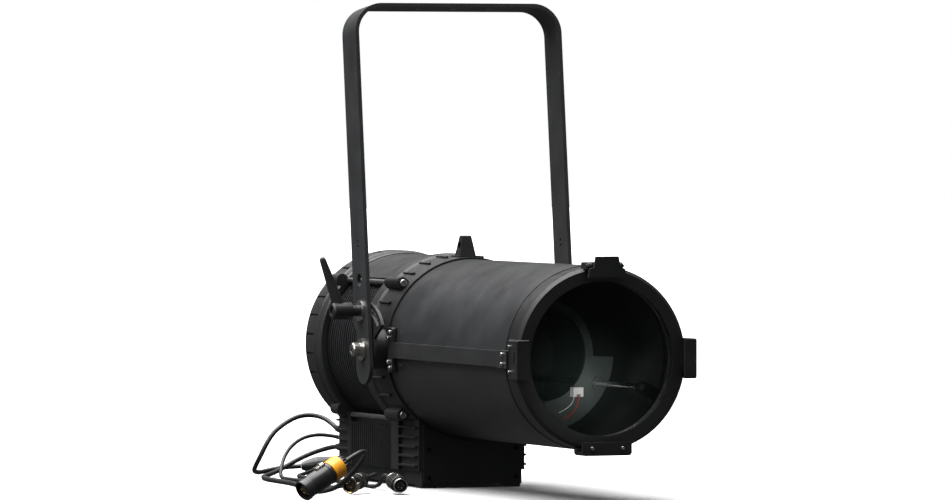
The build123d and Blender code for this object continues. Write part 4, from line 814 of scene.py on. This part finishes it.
def coupler_connector():
    """Inline power socket on the outgoing tail, with a fluted waist."""
    place = axes_along(POWER_OUT_ROUTE, COUPLER_LENGTH)
    shell = turned("coupler_shell", [
        (10.6, 0.0), (12.4, 0.0), (13.0, 0.7), (13.0, 39.5), (12.4, 40.5), (9.0, 52.0), (5.4, 59.6),
        (3.8, 59.8), (3.8, 13.0), (10.6, 12.5),
    ], place, "plug_black", 96)
    ribs = turned("coupler_grip", [
        (12.7, 16.0), (13.35, 16.4), (13.35, 33.6), (12.7, 34.0),
    ], place, "plug_black", 144, flutes=24, flute_depth=0.5)
    core = turned("coupler_core", [
        (0, 4.0), (8.0, 4.0), (8.4, 4.6), (8.4, 12.9), (0, 12.9),
    ], place, "plug_black")
    contacts = pins("coupler_contact", 4.0, 3, place, 1.3, 2.2, 5.0, "gold")
    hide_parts("power_coupler")
    return [shell, ribs, core, *contacts]


def cord_boot(name, place, start, first_radius):
    """Ribbed rubber boot whose ribs shrink towards the cord."""
    end = DATA_PLUG_LENGTH / MM
    outline = [(3.0, start), (first_radius, start)]
    pitch = (end - start - 1.0) / RIBS
    shrink = (first_radius - BOOT_END) / RIBS
    for rib in range(RIBS):
        radius = first_radius - rib * shrink
        low = start + rib * pitch
        outline += [(radius, low + 0.3), (radius - 0.2, low + 0.55 * pitch)]
        outline += [(radius - 1.0, low + 0.65 * pitch), (radius - 1.0, low + 0.9 * pitch)]
    outline += [(3.9, end - 0.4), (3.0, end)]
    return turned(name, outline, place, "cord_rubber", 72)


def male_data_connector():
    """Open data connector: wide plated ring with a gilt mouth, fluted body, boot and contacts."""
    place = axes_along(DATA_IN_ROUTE, DATA_PLUG_LENGTH)
    ring = turned("data_in_ring", [
        (11.7, 0.0), (12.9, 0.0), (13.4, 0.5), (13.4, 8.5), (12.6, 9.2), (12.6, 11.4), (11.7, 12.0),
    ], place, "nickel", 96)
    mouth = turned("data_in_mouth", [
        (10.9, 0.7), (11.9, 0.2), (11.9, 11.5), (10.9, 11.5),
    ], place, "gold", 72)
    body = turned("data_in_body", [
        (5.0, 10.8), (11.9, 10.8), (12.2, 12.0), (12.2, 26.0), (11.2, 27.0), (11.2, 28.5),
        (12.0, 29.5), (12.0, 38.5), (11.2, 40.0), (5.0, 40.0),
    ], place, "plug_black", 168, flutes=28, flute_depth=0.35)
    collar = turned("data_in_collar", [
        (11.0, 26.7), (12.3, 26.9), (12.3, 28.6), (11.0, 28.8),
    ], place, "nickel", 96)
    boot = cord_boot("data_in_boot", place, 39.7, 9.8)
    insert = turned("data_in_insert", [
        (0, 4.0), (8.6, 4.0), (9.2, 4.6), (9.2, 11.0), (0, 11.0),
    ], place, "plug_black")
    contacts = pins("data_in_contact", 4.8, 5, place, 0.9, 0.6, 5.0, "gold", 0.4)
    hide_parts("data_plug_in")
    return [ring, mouth, body, collar, boot, insert, *contacts]


def female_data_connector():
    """Filled data connector: plated ring, black body, plated rear collar, boot and sockets."""
    place = axes_along(DATA_OUT_ROUTE, DATA_PLUG_LENGTH)
    ring = turned("data_out_ring", [
        (9.2, 0.0), (10.4, 0.0), (10.9, 0.5), (10.9, 6.0), (10.2, 7.0), (10.2, 12.0), (9.2, 12.0),
    ], place, "nickel", 96)
    body = turned("data_out_body", [
        (5.0, 9.5), (11.8, 9.5), (12.9, 10.8), (12.9, 34.0), (12.2, 35.0), (5.0, 35.0),
    ], place, "plug_black", 160, flutes=20, flute_depth=0.4)
    collar = turned("data_out_collar", [
        (11.0, 34.6), (12.8, 34.8), (13.0, 35.4), (13.0, 38.2), (12.4, 39.0), (11.0, 39.2),
    ], place, "nickel", 96)
    boot = cord_boot("data_out_boot", place, 38.8, 10.6)
    insert = turned("data_out_insert", [
        (0, 1.2), (6.8, 1.2), (7.4, 1.8), (7.4, 11.0), (0, 11.0),
    ], place, "plug_black")
    sockets = pins("data_out_socket", 4.2, 5, place, 0.9, 0.6, 2.0, "nickel", 0.4)
    latch = swept_box("data_out_latch", [
        (-2.6, 11.8), (2.6, 11.8), (2.6, 14.0), (1.8, 14.7), (-1.8, 14.7), (-2.6, 14.0),
    ], place, 12, 21, "nickel")
    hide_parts("data_plug_out")
    return [ring, body, collar, boot, insert, latch, *sockets]


class SPOT_OT_connectors(bpy.types.Operator):
    """Makes the four connectors"""

    bl_idname = "spot.connectors"
    bl_label = "Connectors"

    def execute(self, context):
        CONNECTORS["power_in"] = power_connector()
        CONNECTORS["power_out"] = coupler_connector()
        CONNECTORS["data_in"] = male_data_connector()
        CONNECTORS["data_out"] = female_data_connector()
        for name, pieces in CONNECTORS.items():
            for piece in pieces:
                add_to_body(piece)
        CONNECTORS["power_in"].append(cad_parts["power_sleeve"])
        return {"FINISHED"}


# ---- inner pieces --------------------------------------------------------------------------------
def rear_baffle():
    """Dark annulus that closes the space between the fins and the rear frame."""
    place = (np.array((0.0, REAR_FACE, AXIS_HEIGHT)), BACKWARD_AXES)
    inner, outer = BAFFLE_RADII
    front, back = BAFFLE_FACES
    outline = [(inner, front), (outer, front), (outer, back), (inner, back)]
    add_to_body(turned("rear_baffle", outline, place, "inner_black", 96))


def carriage_wire(name, route, material):
    """Thin wire whose route is given from the carriage's face."""
    points = [(across, CARRIAGE_FACE + along, height) for across, along, height in route]
    return cord_curve(name, points, WIRE_DIAMETER, material)


def carriage_header():
    """White two-way header on the lens carriage, with one white and one red wire."""
    front = CARRIAGE_FACE - (HEADER_DEPTH - HEADER_SUNK) * MM
    place = (np.array((HEADER_ACROSS, front, HEADER_HEIGHT)), BACKWARD_AXES)
    body = swept_box("carriage_header", HEADER_OUTLINE, place, 0, HEADER_DEPTH, "white_nylon")
    white = carriage_wire("carriage_wire_white", WHITE_WIRE, "wire_white")
    red = carriage_wire("carriage_wire_red", RED_WIRE, "wire_red")
    for piece in (body, white, red):
        add_to_body(piece, CARRIAGE)


class SPOT_OT_inner_pieces(bpy.types.Operator):
    """Makes the rear baffle and the header on the lens carriage"""

    bl_idname = "spot.inner_pieces"
    bl_label = "Inner pieces"

    def execute(self, context):
        rear_baffle()
        carriage_header()
        return {"FINISHED"}


# ---- stage ---------------------------------------------------------------------------------------
def hang_lamp(light, place, turn):
    """Puts a light into the scene at a place, turned by angles about the axes."""
    lamp = bpy.data.objects.new(light.name, light)
    lamp.location = place
    lamp.rotation_euler = turn
    bpy.context.scene.collection.objects.link(lamp)


def turn_along(heading):
    """Angles that turn a lamp, which shines along -Z, to a heading."""
    flat = math.hypot(heading[0], heading[1])
    return (math.atan2(flat, -heading[2]), 0.0, -math.atan2(heading[0], heading[1]))


def softbox(power):
    """Rectangular area light at the left."""
    light = bpy.data.lights.new("side", "AREA")
    light.shape = "RECTANGLE"
    light.size, light.size_y = SIDE_SIZE
    light.energy = power
    hang_lamp(light, SIDE_PLACE, turn_along(np.array(SIDE_AIM) - np.array(SIDE_PLACE)))


def overhead(strength):
    """Very broad light from above, the same everywhere, leaning a little to the left and back."""
    light = bpy.data.lights.new("overhead", "SUN")
    light.energy = strength
    light.angle = OVERHEAD_ANGLE
    hang_lamp(light, (0.0, 0.0, 0.0), OVERHEAD_TURN)


def inner_beam(power):
    """Narrow beam through the front glass, which picks out the lens carriage."""
    light = bpy.data.lights.new("inner_beam", "SPOT")
    light.energy = power
    light.spot_size = BEAM_ANGLE
    light.spot_blend = BEAM_BLEND
    light.shadow_soft_size = BEAM_SOFTNESS
    place = np.array(BEAM_AIM) - BEAM_DISTANCE * np.array(BEAM_HEADING)
    hang_lamp(light, place, turn_along(BEAM_HEADING))


def pale_world():
    """World that is white where the camera sees it and dim where it lights the object."""
    world = bpy.data.worlds.new("pale_room")
    world.use_nodes = True
    tree = world.node_tree
    shade = tree.nodes["Background"]
    path = tree.nodes.new("ShaderNodeLightPath")
    strength = spread(tree, path.outputs["Is Camera Ray"], 0.0, 1.0, ROOM_LIGHT, 1.0)
    shade.inputs["Color"].default_value = (1.0, 1.0, 1.0, 1.0)
    tree.links.new(strength, shade.inputs["Strength"])
    bpy.context.scene.world = world


def pale_floor():
    """Pale floor that takes shadows and throws no light back onto the object."""
    bpy.ops.mesh.primitive_plane_add(size=FLOOR_SIZE)
    floor = bpy.context.object
    floor.name = "floor"
    material, tree, shader, where = start_material("pale_floor")
    tone = spread(tree, noise(tree, where, 3.0, 3.0), 0.3, 0.7)
    tree.links.new(blend_colours(tree, tone, *FLOOR_TONES), shader.inputs["Base Color"])
    shader.inputs["Roughness"].default_value = FLOOR_ROUGHNESS
    floor.data.materials.append(material)
    floor.visible_diffuse = False
    floor.visible_glossy = False
    floor.visible_transmission = False


def put_camera(stage):
    """Camera at the place, turn and lens of the settings."""
    camera = bpy.data.objects.new("camera", bpy.data.cameras.new("camera"))
    camera.data.lens = stage.lens
    camera.data.sensor_width = SENSOR_WIDTH
    camera.data.clip_end = VIEW_END
    camera.location = stage.camera_place
    camera.rotation_euler = (math.pi / 2 - stage.camera_pitch, 0.0, stage.camera_azimuth)
    bpy.context.scene.collection.objects.link(camera)
    bpy.context.scene.camera = camera


class SPOT_OT_stage(bpy.types.Operator):
    """Sets the floor, the lights and the camera"""

    bl_idname = "spot.stage"
    bl_label = "Stage"

    def execute(self, context):
        stage = context.scene.spot_stage
        pale_floor()
        pale_world()
        overhead(stage.key_strength)
        inner_beam(stage.beam_power)
        softbox(stage.side_power)
        put_camera(stage)
        context.scene.view_settings.view_transform = "Standard"
        return {"FINISHED"}


class SPOT_PT_panel(bpy.types.Panel):
    """Buttons for each group of pieces"""

    bl_label = "Profile spot"
    bl_space_type = "VIEW_3D"
    bl_region_type = "UI"
    bl_category = "Profile spot"

    def draw(self, context):
        for operator in OPERATORS:
            self.layout.operator(operator.bl_idname)


OPERATORS = (
    SPOT_OT_finishes, SPOT_OT_inner_pieces, SPOT_OT_connectors, SPOT_OT_cords, SPOT_OT_stage,
)
GROUPS = (("spot_finish", SpotFinish), ("spot_cords", SpotCords), ("spot_stage", SpotStage))


def register():
    """Registers every class and hangs the settings on the scene."""
    for name, group in GROUPS:
        bpy.utils.register_class(group)
        setattr(bpy.types.Scene, name, bpy.props.PointerProperty(type=group))
    for kind in (*OPERATORS, SPOT_PT_panel):
        bpy.utils.register_class(kind)


def unregister():
    """Undoes register."""
    for kind in (SPOT_PT_panel, *reversed(OPERATORS)):
        bpy.utils.unregister_class(kind)
    for name, group in reversed(GROUPS):
        delattr(bpy.types.Scene, name)
        bpy.utils.unregister_class(group)


def main():
    """Builds everything in order."""
    register()
    bpy.ops.spot.finishes()
    bpy.ops.spot.inner_pieces()
    bpy.ops.spot.connectors()
    bpy.ops.spot.cords()
    bpy.ops.spot.stage()


if __name__ == "__main__":
    main()
